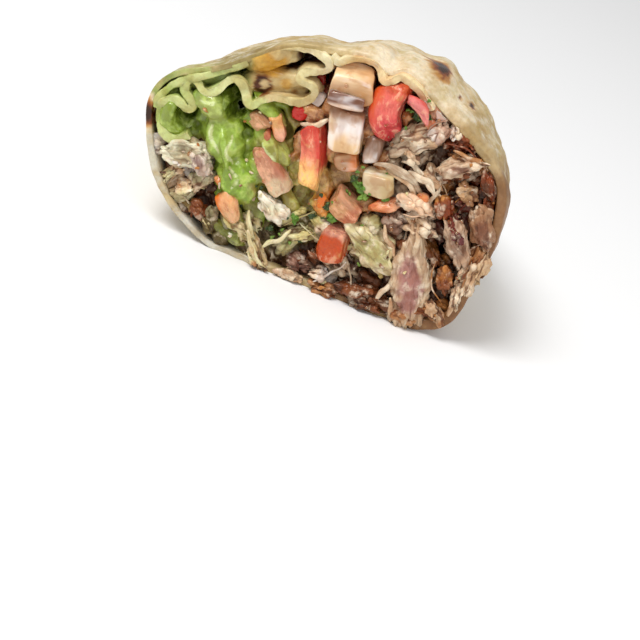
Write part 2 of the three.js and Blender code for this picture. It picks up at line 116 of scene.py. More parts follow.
FLOOR_GREYS = (0.9, 0.93)
floor_finish, tree, shader = new_finish("floor", {"Roughness": 0.9})
cloudy = add(tree, "TexNoise", {"Scale": 3.0})
tint = add(tree, "ValToRGB", {"Fac": cloudy.outputs["Fac"]})
for element, grey in zip(tint.color_ramp.elements, FLOOR_GREYS):
    element.color = (grey, grey, grey, 1)
tree.links.new(tint.outputs["Color"], shader.inputs["Base Color"])
bpy.ops.object.select_all(action="DESELECT")
bpy.ops.mesh.primitive_plane_add(size=30)
floor = bpy.context.object
floor.name = "floor"
floor.data.materials.append(floor_finish)

sky = bpy.data.worlds.new("studio")
sky.use_nodes = True
sky.node_tree.nodes["Background"].inputs["Color"].default_value = (1, 1, 1, 1)
sky.node_tree.nodes["Background"].inputs["Strength"].default_value = 0.6
bpy.context.scene.world = sky


def lamp(name, place, size, power):
    """A square soft lamp that shines on the middle of the burrito."""
    light = bpy.data.lights.new(name, "AREA")
    light.size = size
    light.energy = power
    made = bpy.data.objects.new(name, light)
    bpy.context.scene.collection.objects.link(made)
    made.location = place
    aim = Vector((0, 0, 0.03)) - Vector(place)
    made.rotation_euler = aim.to_track_quat("-Z", "Y").to_euler()


lamp("key_lamp", (-0.35, -0.35, 0.75), 0.35, 5.6)
lamp("fill_lamp", (0.6, -0.6, 0.3), 0.5, 1.2)

# ---------- tortilla: the rolled wall ----------
# A soft wheat tortilla rolled round the filling, its sides folded in and its end tucked under.
# It is about 1.5 mm thick, griddled, so that blisters are browned, and dusted with flour.

SHEET = 1.5                    # mm, thickness
HALF_WIDTH = 46                # mm, of the cut face
# How the section changes from the cut (share 0 of the length) to the end (share 1).
SKEW = 5                       # mm to the right
END_RISE = 24                  # mm, height at which it closes
WIDTH_TAPER = 0.1
HEIGHT_TAPER = 0.26
WIDTH_BULGE = 0.03
HEIGHT_BULGE = 0.06
HEIGHT_LEAN = 0.07
BULGE_END = 0.5
BULGE_POWER = 0.8
CAP_START = 0.34
CAP_POWERS = (2.5, 2.2)        # how blunt the closed end is
LOOSENESS = 4 / 52             # share of the way round over which the outline's corners soften
LOOSE_FROM = 0.3
FLAT_HEIGHT = 0.9              # mm, height of the flattened underside
SEAM = 0.385                   # share of the way round where the sheet's outer edge lies
SEAM_STEP = 1.5                # mm
SEAM_FADE = 0.3                # share of the way round over which its step fades
PLEATS = (0.06, 0.24, 0.47, 0.7, 0.88)     # shares of the way round
PLEAT_WIDTH = 0.13
PLEAT_DEPTH = 2.4              # mm
PLEAT_START = 0.5              # share of the length
PLEAT_STAGGER = 0.08
PLEAT_REACH = 0.3
END_LAYERS = 8                 # mm, thickness of the tucked end
COLUMNS = 340                  # points round the roll
OUTER_ROWS = 120               # rows of points along the outside
INNER_ROWS = 22
ROW_CROWDING = 1.15            # how much closer together the rows lie at the closed end
RIM_DEPTHS = (0.3, 0.6, 0.9, 1.2)
DOME_SHARES = (0.7, 0.4, 0.12, 0.0)

# The cut edge's outline, mm right and up, anticlockwise from the left flank.
OUTLINE = [
    (-46, 34), (-44, 24), (-37.5, 12.3), (-25, 3.2), (-13, 0), (14, 0), (33, 1.6), (43.6, 6.2), (46.2, 18),
    (46.6, 33), (42.8, 46), (31, 54.5), (21, 59.4), (14.5, 63), (10.5, 64), (7, 62.2), (2.5, 63.8),
    (-5, 62.4), (-18, 58.6), (-31.4, 47.8), (-43, 40.5),
]
# Soft swellings and dips of the top, behind the cut: x, half width and height, in mm.
CROWN = [(-7.6, 5.4, -2.4), (18.4, 4.6, 2.5), (8, 6, 1.0)]


def smooth(low, high, x):
    """0 below low, 1 above high, and a soft step between them."""
    share = np.clip((np.asarray(x, float) - low) / (high - low), 0, 1)
    return share * share * (3 - 2 * share)


def curve_through(corners, closed, count):
    """Evenly spaced points on a smooth line through the corners."""
    p = np.array(corners, float)
    ends = (p[-1:], p[:2]) if closed else (2 * p[:1] - p[1:2], 2 * p[-1:] - p[-2:-1])
    p = np.vstack([ends[0], p, ends[1]])
    line = []
    for a, b, c, d in zip(p, p[1:], p[2:], p[3:]):
        gaps = [np.linalg.norm(v - u) ** 0.5 for u, v in ((a, b), (b, c), (c, d))]
        t0, t1, t2, t3 = np.cumsum([0] + gaps)
        t = np.linspace(t1, t2, 30, endpoint=False)[:, None]
        ab = (a * (t1 - t) + b * (t - t0)) / (t1 - t0)
        bc = (b * (t2 - t) + c * (t - t1)) / (t2 - t1)
        cd = (c * (t3 - t) + d * (t - t2)) / (t3 - t2)
        abc = (ab * (t2 - t) + bc * (t - t0)) / (t2 - t0)
        bcd = (bc * (t3 - t) + cd * (t - t1)) / (t3 - t1)
        line.append((abc * (t2 - t) + bcd * (t - t1)) / (t2 - t1))
    line.append(p[-2:-1])
    line = np.vstack(line)
    run = np.concatenate([[0], np.cumsum(np.linalg.norm(np.diff(line, axis=0), axis=1))])
    places = np.linspace(0, run[-1], count + 1)[:count] if closed else np.linspace(0, run[-1], count)
    return np.stack([np.interp(places, run, line[:, k]) for k in range(line.shape[1])], axis=1)


def in_roll(x, z, t):
    """Where a point of the cut face lies at the share t of the roll's length: swollen, then closing."""
    late = max(0.0, (t - CAP_START) / (1 - CAP_START))
    cap = (1 - late ** CAP_POWERS[0]) ** (1 / CAP_POWERS[1])
    swell = math.sin(math.pi * min(1.0, t / BULGE_END)) ** BULGE_POWER if t > 0 else 0.0
    rise = HEIGHT_BULGE + HEIGHT_LEAN * x / HALF_WIDTH
    z = END_RISE * (1 - cap) + z * (1 + rise * swell - HEIGHT_TAPER * t) * cap
    x = SKEW * t + x * (1 + WIDTH_BULGE * swell - WIDTH_TAPER * t) * cap
    return x, z


cut_ring = curve_through(OUTLINE, True, COLUMNS)
reach = round(LOOSENESS * COLUMNS)
loose_ring = sum(np.roll(cut_ring, k, axis=0) for k in range(-reach, reach + 1)) / (2 * reach + 1)
share = np.arange(COLUMNS) / COLUMNS
past_seam = (share - SEAM) % 1
overlap = np.where(past_seam < SEAM_FADE, SEAM_STEP * (1 - past_seam / SEAM_FADE), 0)


def roll_ring(t, depth, length):
    """One ring of the wall, depth mm under the skin, at the share t of the length."""
    shape = cut_ring + (loose_ring - cut_ring) * smooth(0, LOOSE_FROM, t)
    tucks = np.zeros(COLUMNS)
    for k, place in enumerate(PLEATS):
        across = (share - place) % 1
        start = PLEAT_START + PLEAT_STAGGER * (k % 3)
        fold = PLEAT_DEPTH * (1 - across / PLEAT_WIDTH) * smooth(start, start + PLEAT_REACH, t)
        tucks += np.where(across < PLEAT_WIDTH, fold, 0)
    relief = (overlap * (1 - 0.5 * t) - tucks) * (1 - min(1.0, depth / SHEET))
    on_top = smooth(36, 50, shape[:, 1]) * smooth(0.0, 0.13, t) * (1 - smooth(0.36, 0.6, t))
    for place, spread, height in CROWN:
        relief = relief + height * on_top * np.exp(-((shape[:, 0] - place) / spread) ** 2)
    along = np.roll(shape, -1, axis=0) - np.roll(shape, 1, axis=0)
    along /= np.linalg.norm(along, axis=1)[:, None]
    shape = shape + np.stack([-along[:, 1], along[:, 0]], axis=1) * (depth - relief)[:, None]
    x, z = in_roll(shape[:, 0], shape[:, 1], t)
    z = np.maximum(z, FLAT_HEIGHT + depth)
    return np.stack([x, np.full(COLUMNS, t * length), z], axis=1)


def closing(ring):
    """Rings that close the open end of a row of rings."""
    centre = ring.mean(axis=0)
    return [centre + (ring - centre) * part for part in DOME_SHARES]


def pick(piece):
    """Makes a piece the only one that is selected, and active."""
    bpy.ops.object.select_all(action="DESELECT")
    piece.select_set(True)
    bpy.context.view_layer.objects.active = piece


def triples(items, key):
    """The x, y and z of each item, such as a mesh's points."""
    flat = np.empty(len(items) * 3, np.float32)
    items.foreach_get(key, flat)
    return flat.reshape(-1, 3).astype(float)


def points_of(piece):
    """A piece's points, in mm from the foot of the cut face."""
    return (triples(piece.data.vertices, "co") - CUT) / MM


def set_points(piece, points):
    """Moves a piece's points to these places, in mm from the foot of the cut face."""
    flat = (points * MM + CUT).astype(np.float32)
    piece.data.vertices.foreach_set("co", flat.ravel())
    piece.data.update()


def outward(piece):
    """Each point's direction out of the surface."""
    return triples(piece.data.vertex_normals, "vector")


def noise_at(spots):
    """Smooth random waves, -1 to 1 and 1 long, at each of the spots."""
    return np.array([noise.noise(spot) for spot in spots.tolist()])


def waves_at(spots, octaves, fade=1.0, finer=2.0):
    """Such waves with finer and finer ones laid over them."""
    return np.array([noise.fractal(spot, fade, finer, octaves) for spot in spots.tolist()])


def rolled(name, rows):
    """A flat grid, given the places of its rows of points: rows is rows by columns by (x, y, z), mm."""
    count, across = rows.shape[:2]
    bpy.ops.object.select_all(action="DESELECT")
    bpy.ops.mesh.primitive_grid_add(x_subdivisions=across - 1, y_subdivisions=count - 1, size=2)
    piece = bpy.context.object
    piece.name = name
    set_points(piece, rows.reshape(-1, 3))
    bpy.ops.object.mode_set(mode="EDIT")
    bpy.ops.mesh.select_all(action="SELECT")
    bpy.ops.mesh.remove_doubles(threshold=1e-6)
    bpy.ops.mesh.dissolve_degenerate(threshold=1e-7)
    bpy.ops.mesh.normals_make_consistent(inside=False)
    bpy.ops.object.mode_set(mode="OBJECT")
    bpy.ops.object.shade_smooth()
    return piece


def roughen(piece, height, pitch, seed, octaves=2, where=None):
    """Moves each point in or out by up to height mm, in waves of about pitch mm."""
    points = points_of(piece)
    amount = height * waves_at(points / pitch + 37.7 * seed, octaves)
    if where:
        amount = amount * where(points)
    set_points(piece, points + outward(piece) * amount[:, None])


def row_places(first, last, count):
    """Shares of the length for rows of points: 0 is at the cut, and 1 at the closed end."""
    return np.sin(np.linspace(first, last, count) * math.pi / 2) ** ROW_CROWDING * TIP


outer = [roll_ring(t, 0, LENGTH) for t in row_places(1, 0, OUTER_ROWS)]
rim = [roll_ring(0, depth, LENGTH) for depth in RIM_DEPTHS]
inner = [roll_ring(t, SHEET, LENGTH - END_LAYERS) for t in row_places(0, 1, INNER_ROWS)]
rows = np.array(closing(outer[0])[::-1] + outer + rim + inner + closing(inner[-1]))
wall = rolled("tortilla_wall", np.concatenate([rows, rows[:, :1]], axis=1))

EDGE_REACH = 7.0               # mm, how deep the unevenness of the cut goes
points = points_of(wall)
flat = points * (1, 0, 1)
wave = 0.9 * noise_at(flat / 9) + 0.5 * noise_at(flat / 2.6 + (0, 7, 0))
points[:, 1] += (1 - smooth(0, EDGE_REACH, points[:, 1])) * wave
set_points(wall, points)


def on_skin(points):
    """1 on the roll's skin, 0 at the rim and where it lies flat."""
    return smooth(0.0, 3.0, points[:, 2]) * smooth(-1.0, 4.0, points[:, 1])


roughen(wall, 1.1, 16, 1, where=on_skin)
roughen(wall, 0.35, 4.5, 2, octaves=3, where=on_skin)
points = points_of(wall)
points[:, 2] = np.maximum(points[:, 2], FLAT_HEIGHT)
set_points(wall, points)


def linear(shade):
    """A screen colour, a tuple of 0 to 255, as a linear one. An array is linear already, and stays."""
    if isinstance(shade, np.ndarray):
        return shade
    share = np.array(shade) / 255
    return np.where(share < 0.04, share / 12.92, ((share + 0.055) / 1.055) ** 2.4)


def mark(piece, name, values):
    """Keeps a number for each point of a piece, or one for all, which its finish reads."""
    layer = piece.data.attributes.new(name, "FLOAT", "POINT")
    full = np.empty(len(piece.data.vertices), np.float32)
    full[:] = values
    layer.data.foreach_set("value", full)


def colour(piece, colours):
    """Keeps a colour for each point of a piece, or one for all, which its finish reads."""
    layer = piece.data.attributes.new("tint", "FLOAT_COLOR", "POINT")
    full = np.ones((len(piece.data.vertices), 4), np.float32)
    full[:, :3] = linear(colours)
    layer.data.foreach_set("color", full.ravel())


def blend(colours, part, shade):
    """Colours turned towards a shade, at each point by its part."""
    return colours + part[:, None] * (linear(shade) - colours)


def dabbed(points, ground, dabs, fray=0.35, core=0.65):
    """A ground colour for each point, with ragged dabs (x, z, radius, colour) laid over it in turn.

    A dab is solid out to the share core of its radius.
    """
    colours = linear(ground)
    ragged = noise_at(points / 1.7)
    for x, z, radius, shade in dabs:
        far = np.hypot(points[:, 0] - x, points[:, 2] - z) / radius + fray * ragged
        colours = blend(colours, 1 - smooth(core, 1.1, far), shade)
    return colours


def mixed(tree, share, low, high, way="MIX"):
    """Colour low turning into colour high by share."""
    made = add(tree, "Mix", {0: share}, data_type="RGBA", blend_type=way)
    for socket, value in ((6, low), (7, high)):
        if isinstance(value, bpy.types.NodeSocket):
            tree.links.new(value, made.inputs[socket])
        else:
            made.inputs[socket].default_value = (*linear(value), 1)
    return made.outputs[2]


def math_node(tree, way, *values):
    """The sum, product or the like of values and sockets."""
    return add(tree, "Math", dict(enumerate(values)), operation=way).outputs["Value"]


def vector_node(tree, way, values):
    """The same for places."""
    return add(tree, "VectorMath", values, operation=way).outputs["Vector"]


def stepped(tree, value, low, high, out=(0.0, 1.0)):
    """A soft step of a value between low and high."""
    ends = {"Value": value, "From Min": low, "From Max": high, "To Min": out[0], "To Max": out[1]}
    return add(tree, "MapRange", ends, interpolation_type="SMOOTHSTEP").outputs["Result"]


def glazed(tree, ground, pattern, span, share, shade, way="MIX"):
    """A ground turned towards a shade, after a pattern.

    The share that it turns by is share[0] where the pattern is below span[0], and share[1] above span[1].
    """
    return mixed(tree, stepped(tree, pattern, *span, share), ground, shade, way)


def ramp(tree, value, stops):
    """A colour for each value: stops are (place, colour)."""
    made = add(tree, "ValToRGB", {"Fac": value})
    elements = made.color_ramp.elements
    while len(elements) < len(stops):
        elements.new(0.5)
    for element, (place, shade) in zip(elements, stops):
        element.position = place
        element.color = (*linear(shade), 1)
    return made.outputs["Color"]


def millimetres(tree):
    """The place of a point of the surface, in mm."""
    return vector_node(tree, "SCALE", {0: add(tree, "TexCoord").outputs["Object"], "Scale": 1 / MM})


def speckle(tree, place, size, detail=2.0, rough=0.5):
    """Smooth random blotches of about size mm, around 0.5."""
    made = add(tree, "TexNoise", {"Vector": place, "Scale": 1 / size, "Detail": detail, "Roughness": rough})
    return made.outputs["Fac"]


def warped(tree, place, size, reach):
    """The same place, pushed about so that what is drawn there gets a ragged edge."""
    push = add(tree, "TexNoise", {"Vector": place, "Scale": 1 / size, "Detail": 3.0}).outputs["Color"]
    push = vector_node(tree, "SUBTRACT", {0: push, 1: (0.5, 0.5, 0.5)})
    push = vector_node(tree, "SCALE", {0: push, "Scale": reach})
    return vector_node(tree, "ADD", {0: place, 1: push})


def reads(tree, name, part="Fac"):
    """What mark, colour or keep_grain has kept for a point."""
    return add(tree, "Attribute", attribute_name=name).outputs[part]


def painted(tree, shader, ground, relief, depth):
    """Gives a finish its colour, and a fine relief of up to depth metres."""
    tree.links.new(ground, shader.inputs["Base Color"])
    made = add(tree, "Bump", {"Height": relief, "Distance": depth, "Strength": 1.0})
    tree.links.new(made.outputs["Normal"], shader.inputs["Normal"])


CREAM_SHEET = (204, 184, 138)
PALE_SHEET = (234, 219, 190)
FLOUR = (224, 218, 200)
CHAR = (48, 24, 14)
RUST = (128, 62, 22)
GOLDEN = (196, 146, 76)
OLIVE_SHEET = (172, 154, 96)
BLISTER = ((0.0, CHAR), (0.28, (74, 34, 16)), (0.46, RUST), (0.58, GOLDEN), (0.66, (220, 190, 136)))

tortilla_finish, tree, shader = new_finish("griddled_tortilla", {
    "Roughness": 0.66, "Specular IOR Level": 0.3, "Specular Tint": (1, 0.78, 0.6, 1),
    "Subsurface Weight": 0.15, "Subsurface Radius": (1.2, 0.8, 0.4), "Subsurface Scale": 0.001,
})
place = millimetres(tree)
outside = reads(tree, "outside")
ground = reads(tree, "tint", "Color")
blotch = speckle(tree, place, 7.0, 3.0)
fine = speckle(tree, place, 0.9, 4.0, 0.6)
ground = glazed(tree, ground, blotch, (0.38, 0.66), (0.0, 0.55), (204, 176, 116), "MULTIPLY")
oily = speckle(tree, warped(tree, place, 6.0, 5.0), 5.0, 4.0, 0.6)
oily = math_node(tree, "MULTIPLY", stepped(tree, oily, 0.48, 0.64, (0.0, 0.45)), outside)
ground = mixed(tree, oily, ground, OLIVE_SHEET)
dust = math_node(tree, "MULTIPLY", stepped(tree, speckle(tree, place, 3.2, 5.0, 0.62), 0.42, 0.66), outside)
dust = math_node(tree, "MULTIPLY", dust, stepped(tree, fine, 0.3, 0.62, (0.25, 0.8)))
ground = mixed(tree, dust, ground, FLOUR)
ground = glazed(tree, ground, fine, (0.35, 0.75), (0.0, 0.3), (186, 156, 100), "MULTIPLY")


def toasted(ground, cell, largest, chance, seed):
    """Browned blisters, in random places a cell apart and up to largest mm in radius, drawn over a ground."""
    ragged = warped(tree, place, 2.2, 1.6)
    moved = vector_node(tree, "ADD", {0: ragged, 1: (seed, seed, seed)})
    cells = add(tree, "TexVoronoi", {"Vector": moved, "Scale": 1 / cell})
    luck = add(tree, "SeparateColor", {"Color": cells.outputs["Color"]}).outputs["Red"]
    radius = stepped(tree, luck, 1 - chance, 1.0, (0.0, largest / cell))
    radius = math_node(tree, "ADD", radius, 0.001)
    far = math_node(tree, "DIVIDE", cells.outputs["Distance"], radius)
    brown = ramp(tree, math_node(tree, "MULTIPLY", far, 0.6), BLISTER)
    there = math_node(tree, "MULTIPLY", stepped(tree, far, 1.25, 0.85), reads(tree, "griddled"))
    return mixed(tree, there, ground, brown)


ground = toasted(ground, 5.0, 1.5, 0.45, 11.0)
ground = toasted(ground, 9.0, 2.8, 0.5, 5.0)
ground = toasted(ground, 17.0, 5.6, 0.8, 3.0)
# The inner turns are moist with what they hold.
tree.links.new(stepped(tree, outside, 0.0, 0.4, (0.4, 0.0)), shader.inputs["Coat Weight"])
shader.inputs["Coat Roughness"].default_value = 0.16
relief = math_node(tree, "ADD", fine, math_node(tree, "MULTIPLY", blotch, 2.0))
painted(tree, shader, ground, relief, 0.0002)

WALL_DABS = [
    (-30, 50, 13, (150, 134, 84)), (-15, 60, 8, (182, 162, 112)), (8, 62, 14, PALE_SHEET),
    (28, 56, 10, PALE_SHEET), (43, 42, 10, (176, 148, 106)), (34, 54, 9, (190, 168, 124)),
    (-20, 3, 16, (212, 208, 194)), (-42, 16, 10, (206, 202, 184)),
]
# Near the cut, juices have stained the sheet green on the left.
# The brown low on the right and along its foot is painted shade.
JUICE_STAINS_AND_SHADE = [
    (-42, 38, 10, (150, 166, 90)), (-37, 43, 6, (178, 186, 116)), (47, 28, 11, (142, 100, 66)),
    (44, 10, 9, (130, 92, 60)), (20, 1, 16, (134, 100, 66)), (38, 3, 12, (126, 88, 56)),
]
# Brown for painted shade on the lower right flank.
FLANK_SHADE_BROWN = (140, 98, 62)
# Burnt spots on the skin: place and radius in mm, and the rings of colour from the outside in.
SCORCHES = [
    ((18, 10.6, 64.2), 5.0), ((29, 11, 58.4), 1.5), ((25.4, 8, 60.2), 0.9), ((-45.8, 0.6, 28.6), 4.8),
]
SCORCH_RINGS = ((1.1, PALE_SHEET), (0.95, GOLDEN), (0.78, RUST), (0.58, CHAR))

points = points_of(wall)
tints = dabbed(points, CREAM_SHEET, WALL_DABS, 0.5, 0.35)
wander = waves_at(points / 5, 2)
tints = blend(tints, smooth(6, 30, points[:, 1] + 8 * wander), CREAM_SHEET)
near = 1 - smooth(2, 10, points[:, 1] + 6 * wander)
tints = blend(tints, near, dabbed(points, tints, JUICE_STAINS_AND_SHADE, 0.7, 0.0))
# Painted shade: the lower right flank, turned from the lamps, is browned, and its flour is thinned.
flank_shade = smooth(33, 44, points[:, 0]) * (1 - smooth(40, 60, points[:, 2]))
flank_shade = flank_shade * (1 - smooth(4, 17, points[:, 1] + 9 * wander))
tints = blend(tints, 0.92 * flank_shade, FLANK_SHADE_BROWN)
ragged = waves_at(points / 1.6, 2)
floury = 1 - 0.7 * flank_shade
for spot, radius in SCORCHES:
    far = np.linalg.norm((points - np.array(spot)) * (1, 0.62, 1), axis=1) / radius + 0.22 * ragged
    floury *= smooth(0.8, 1.1, far)
    for rim, shade in SCORCH_RINGS:
        tints = blend(tints, 1 - smooth(rim - 0.22, rim, far), shade)
colour(wall, tints)
on_rim = smooth(0.0, 0.3, -outward(wall)[:, 1] - 0.5)
mark(wall, "outside", floury * smooth(0.5, 4, points[:, 1]) * (1 - on_rim))
# Browned blisters lie on the roll's back and on its lower flank.
on_flank = smooth(3, 8, points[:, 1]) * (points[:, 2] < 34)
mark(wall, "griddled", np.maximum(smooth(26, 38, points[:, 1]), on_flank))
wall.data.materials.append(tortilla_finish)
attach(wall, "root")
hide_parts("tortilla")

# ---------- tortilla: gathers ----------
# Where the roll was folded over, the inner turns of the sheet bunch into ruffles that hang over
# the filling. Their cut edges are soft and pale, and guacamole has coloured those on the left.

LEFT_GATHER = [
    (-20, 58), (-14.6, 59), (-10.5, 59.2), (-7.8, 58.4), (-7, 56.8), (-8, 55.4), (-10.7, 54.6), (-12.6, 53.4),
    (-12.8, 52), (-11, 51.2), (-8.9, 51.2), (-8, 49.9), (-8.7, 47.8), (-10.3, 46.4), (-13.3, 45.8),
    (-16.9, 44.8), (-19.7, 43.1), (-21.2, 41.1), (-22.7, 41.5), (-24, 43.3), (-25.7, 45.2), (-27.6, 45.6),
    (-29.2, 44), (-30.2, 41.9), (-31.9, 40.3), (-34, 40), (-35.8, 41.2), (-37.6, 41.2), (-38.6, 39.8),
    (-38, 37.6), (-36.2, 36.4), (-34.8, 35), (-36, 33.8), (-38, 34.6), (-40, 34.8), (-41.8, 33.6),
    (-42.4, 31.4), (-41.8, 28.6), (-40.2, 26.2), (-37.9, 25), (-35.4, 25.7), (-33.5, 27.6),
]
RIGHT_GATHER = [
    (-7.4, 60), (-5.2, 59), (-4.2, 60.4), (-2.4, 61.6), (1, 62), (3.6, 61.8), (5.2, 60.4), (6.8, 59.2),
    (8.2, 60), (9.6, 61.6), (12, 61.4), (15, 60.2), (17.6, 58.2), (19.4, 56.6),
]
SECOND_TURN = [
    (-43.4, 30.6), (-43.4, 33.4), (-42.4, 36.4), (-40.4, 39.2), (-36, 42.4), (-31, 45.8), (-26, 50.4),
]
FOLD_DEPTH = 34                # mm, how far a gather runs into the roll
INNER_SHEET = 1.9              # mm, thickness of a turn swollen with juice
EDGE_ROUNDING = 0.8            # mm
SHEET_GRAIN = 0.4              # mm between points along a gather
SWAY = 0.22                    # how far a gather wanders as it runs back, against its depth


def finish_with(piece, kind, **settings):
    """Adds a modifier and applies it."""
    pick(piece)
    made = piece.modifiers.new(kind.lower(), kind)
    for key, value in settings.items():
        setattr(made, key, value)
    bpy.ops.object.modifier_apply(modifier=made.name)


def soften(piece, rounds):
    finish_with(piece, "SMOOTH", factor=0.5, iterations=rounds)


def along_line(line, pitch, y):
    """Spots for waves of pitch mm along a line across the cut."""
    return np.stack([line[:, 0] / pitch, np.full(len(line), y), line[:, 1] / pitch], axis=1)


def hung_sheet(name, corners, front, depth, seed):
    """A soft sheet that follows a winding line across the cut and runs back into the roll."""
    length = np.linalg.norm(np.diff(np.array(corners, float), axis=0), axis=1).sum()
    line = curve_through(corners, False, round(length / SHEET_GRAIN))
    edge = 1.6 * noise_at(along_line(line, 5, seed))
    rows = []
    for y in np.concatenate([np.linspace(0, 6, 15), np.linspace(7, depth, 14)]):
        x, z = in_roll(line[:, 0], line[:, 1], y / LENGTH)
        spots = along_line(line, 6, y / 7)
        x = x + noise_at(spots + (0, 0, seed)) * min(y, 8) * SWAY
        z = z + noise_at(spots + (9, 0, 0)) * min(y, 8) * SWAY
        rows.append(np.stack([x, front + y + edge * max(0, 1 - y / 6), z], axis=1))
    piece = rolled(name, np.array(rows))
    finish_with(piece, "SOLIDIFY", thickness=INNER_SHEET * MM, offset=0)
    finish_with(piece, "BEVEL", width=EDGE_ROUNDING * MM, segments=3, limit_method="ANGLE", angle_limit=1.0)
    soften(piece, 4)
    return piece


sheets = [
    hung_sheet("left_gather", LEFT_GATHER, -0.9, FOLD_DEPTH, 3),
    hung_sheet("right_gather", RIGHT_GATHER, -1.3, FOLD_DEPTH * 0.8, 8),
    hung_sheet("second_turn", SECOND_TURN, -0.3, FOLD_DEPTH * 0.5, 5),
]


def unit_ball(detail):
    """A new ball of even triangles, with its points at a distance of 1 from its middle."""
    bpy.ops.object.select_all(action="DESELECT")
    bpy.ops.mesh.primitive_ico_sphere_add(subdivisions=detail, radius=1)
    piece = bpy.context.object
    unit = triples(piece.data.vertices, "co")
    return piece, unit / np.linalg.norm(unit, axis=1)[:, None]


def ball(size, square, seed, rough, detail):
    """A ball squared off, made uneven and stretched to a size in mm, about its own middle."""
    piece, unit = unit_ball(detail)
    lobes = waves_at(unit * 1.4 + seed * 5.3, 2)
    body = np.sign(unit) * np.abs(unit) ** square * (1 + rough * lobes)[:, None]
    return piece, body * np.array(size) / 2


def put(piece, local, at, turn=0, lean=0):
    """Leans a piece into the roll, turns it in the cut face, both in degrees, and puts it in place."""
    turned = Matrix.Rotation(math.radians(-turn), 3, "Y") @ Matrix.Rotation(math.radians(lean), 3, "X")
    set_points(piece, local @ np.array(turned).T + np.array(at))
    bpy.ops.object.shade_smooth()


def lump(size, at, turn, square, seed, rough, detail):
    """A soft lump in its place."""
    piece, local = ball(size, square, seed, rough, detail)
    put(piece, local, at, turn)
    return piece


# Thick folds behind the ruffles: size, place, turn, seed.
FOLDS = [
    ((15.5, 15, 7.4), (-21.8, 6.6, 53.2), 36, 4), ((21, 14, 8.4), (-17.6, 7.6, 48), 22, 6),
    ((20, 12, 8), (-35.4, 7.6, 41), 40, 7), ((7, 12, 10), (-42, 7.6, 33.4), 0, 9),
    ((12, 8, 7), (-11.4, 13, 56.4), 8, 10),
]
folds = [lump(size, at, turn, 0.8, seed, 0.15, 5) for size, at, turn, seed in FOLDS]


def join(name, pieces):
    """Makes the pieces one."""
    bpy.ops.object.select_all(action="DESELECT")
    for piece in pieces:
        piece.select_set(True)
    bpy.context.view_layer.objects.active = pieces[0]
    bpy.ops.object.join()
    pieces[0].name = name
    return pieces[0]


HEART = (0.0, 30.0)            # a point that sees the whole of the wall's inside
ANGLES = np.linspace(-math.pi, math.pi, 361)
SLICES = np.linspace(0, 0.9, 46)


def reach_table(depth):
    """How far the wall is from the roll's heart at each slice and angle, depth mm under its skin."""
    table = []
    for t in SLICES:
        ring = roll_ring(t, depth, LENGTH)
        x, z = in_roll(*HEART, t)
        far = np.hypot(ring[:, 0] - x, ring[:, 2] - z)
        angle = np.arctan2(ring[:, 2] - z, ring[:, 0] - x)
        order = np.argsort(angle)
        table.append(np.interp(ANGLES, angle[order], far[order], period=2 * math.pi))
    return np.array(table)


def keep_inside(piece, depth, spill=False):
    """Pulls in whatever of a piece would come nearer than depth mm to the tortilla's skin.

    What spills is free to hang over the rim, in front of the cut, and lies on whatever the roll lies on.
    """
    points = points_of(piece)
    table = reach_table(depth)
    t = np.clip(points[:, 1] / LENGTH, 0, 0.89)
    hearts = np.array([in_roll(*HEART, share) for share in t])
    across, above = points[:, 0] - hearts[:, 0], points[:, 2] - hearts[:, 1]
    column = (np.arctan2(above, across) + math.pi) / (2 * math.pi) * (len(ANGLES) - 1)
    column = np.clip(np.rint(column).astype(int), 0, len(ANGLES) - 1)
    row = np.rint(t / SLICES[1]).astype(int)
    pull = np.minimum(1, table[row, column] / np.maximum(np.hypot(across, above), 1e-6))
    if spill:
        pull += (1 - pull) * (1 - smooth(-1.2, 0.4, points[:, 1]))
    points[:, 0] = hearts[:, 0] + across * pull
    points[:, 2] = np.maximum(hearts[:, 1] + above * pull, TABLE)
    set_points(piece, points)


for piece in sheets:
    mark(piece, "sheet", 1)
for piece in folds:
    mark(piece, "sheet", 0)
gathers = join("tortilla_gathers", sheets + folds)
roughen(gathers, 0.5, 4, 5, octaves=3)
roughen(gathers, 0.14, 1.3, 6)
keep_inside(gathers, SHEET * 0.6)

GATHER_CREAM = (238, 222, 188)
GREEN_SHEET = (176, 190, 116)
# The lips' pale green and cream are partly painted highlight, and the fold green is partly painted shade.
LIP_GREEN_AND_HIGHLIGHT = (196, 206, 130)
LIP_CREAM_AND_HIGHLIGHT = (226, 224, 172)
FOLD_GREEN_AND_SHADE = (96, 122, 30)
GATHER_DABS = [
    (-20, 48, 16, (212, 192, 142)), (-21.5, 53.2, 5.6, (198, 146, 48)), (-25, 52, 3.4, (196, 152, 66)),
    (-20, 56.8, 3.0, (208, 188, 138)), (-27.6, 49.4, 3.6, (150, 136, 78)), (-15.4, 48.8, 1.7, (204, 162, 82)),
    (-34, 38, 13, GREEN_SHEET), (-40, 30, 9, (160, 180, 84)), (-20.3, 41.4, 3.2, (184, 200, 110)),
    (-27, 44, 4.4, (204, 208, 148)), (8, 60, 14, (232, 196, 152)), (-1, 60.4, 2.6, (220, 170, 112)),
    (6.8, 58.6, 2.6, (226, 166, 118)),
]
CHAR_RING = [
    (-20.9, 46.2, 2.5, (150, 96, 44)), (-20.9, 46.2, 2.1, (74, 34, 16)), (-20.6, 46.4, 1.3, (212, 188, 140)),
    (-21.4, 45.6, 0.5, (96, 48, 22)),
]
# Painted shade: dark maroon dabs in the deep hollow at the top, between the gathers.
PAINTED_FOLD_SHADOWS = [(-12, 56.8, 4, (66, 26, 14)), (-8.8, 57, 2.2, (80, 34, 18)), (-15.8, 52.8, 1.9, (84, 46, 20))]
TOAST_SHADES = [(196, 150, 84), (176, 126, 66), (222, 200, 150), (140, 96, 48)]
TOAST_SPOTS = 60

points = points_of(gathers)
tints = dabbed(points, GATHER_CREAM, GATHER_DABS, 0.16)
tints = dabbed(points, tints, CHAR_RING, 0.3, 0.95)
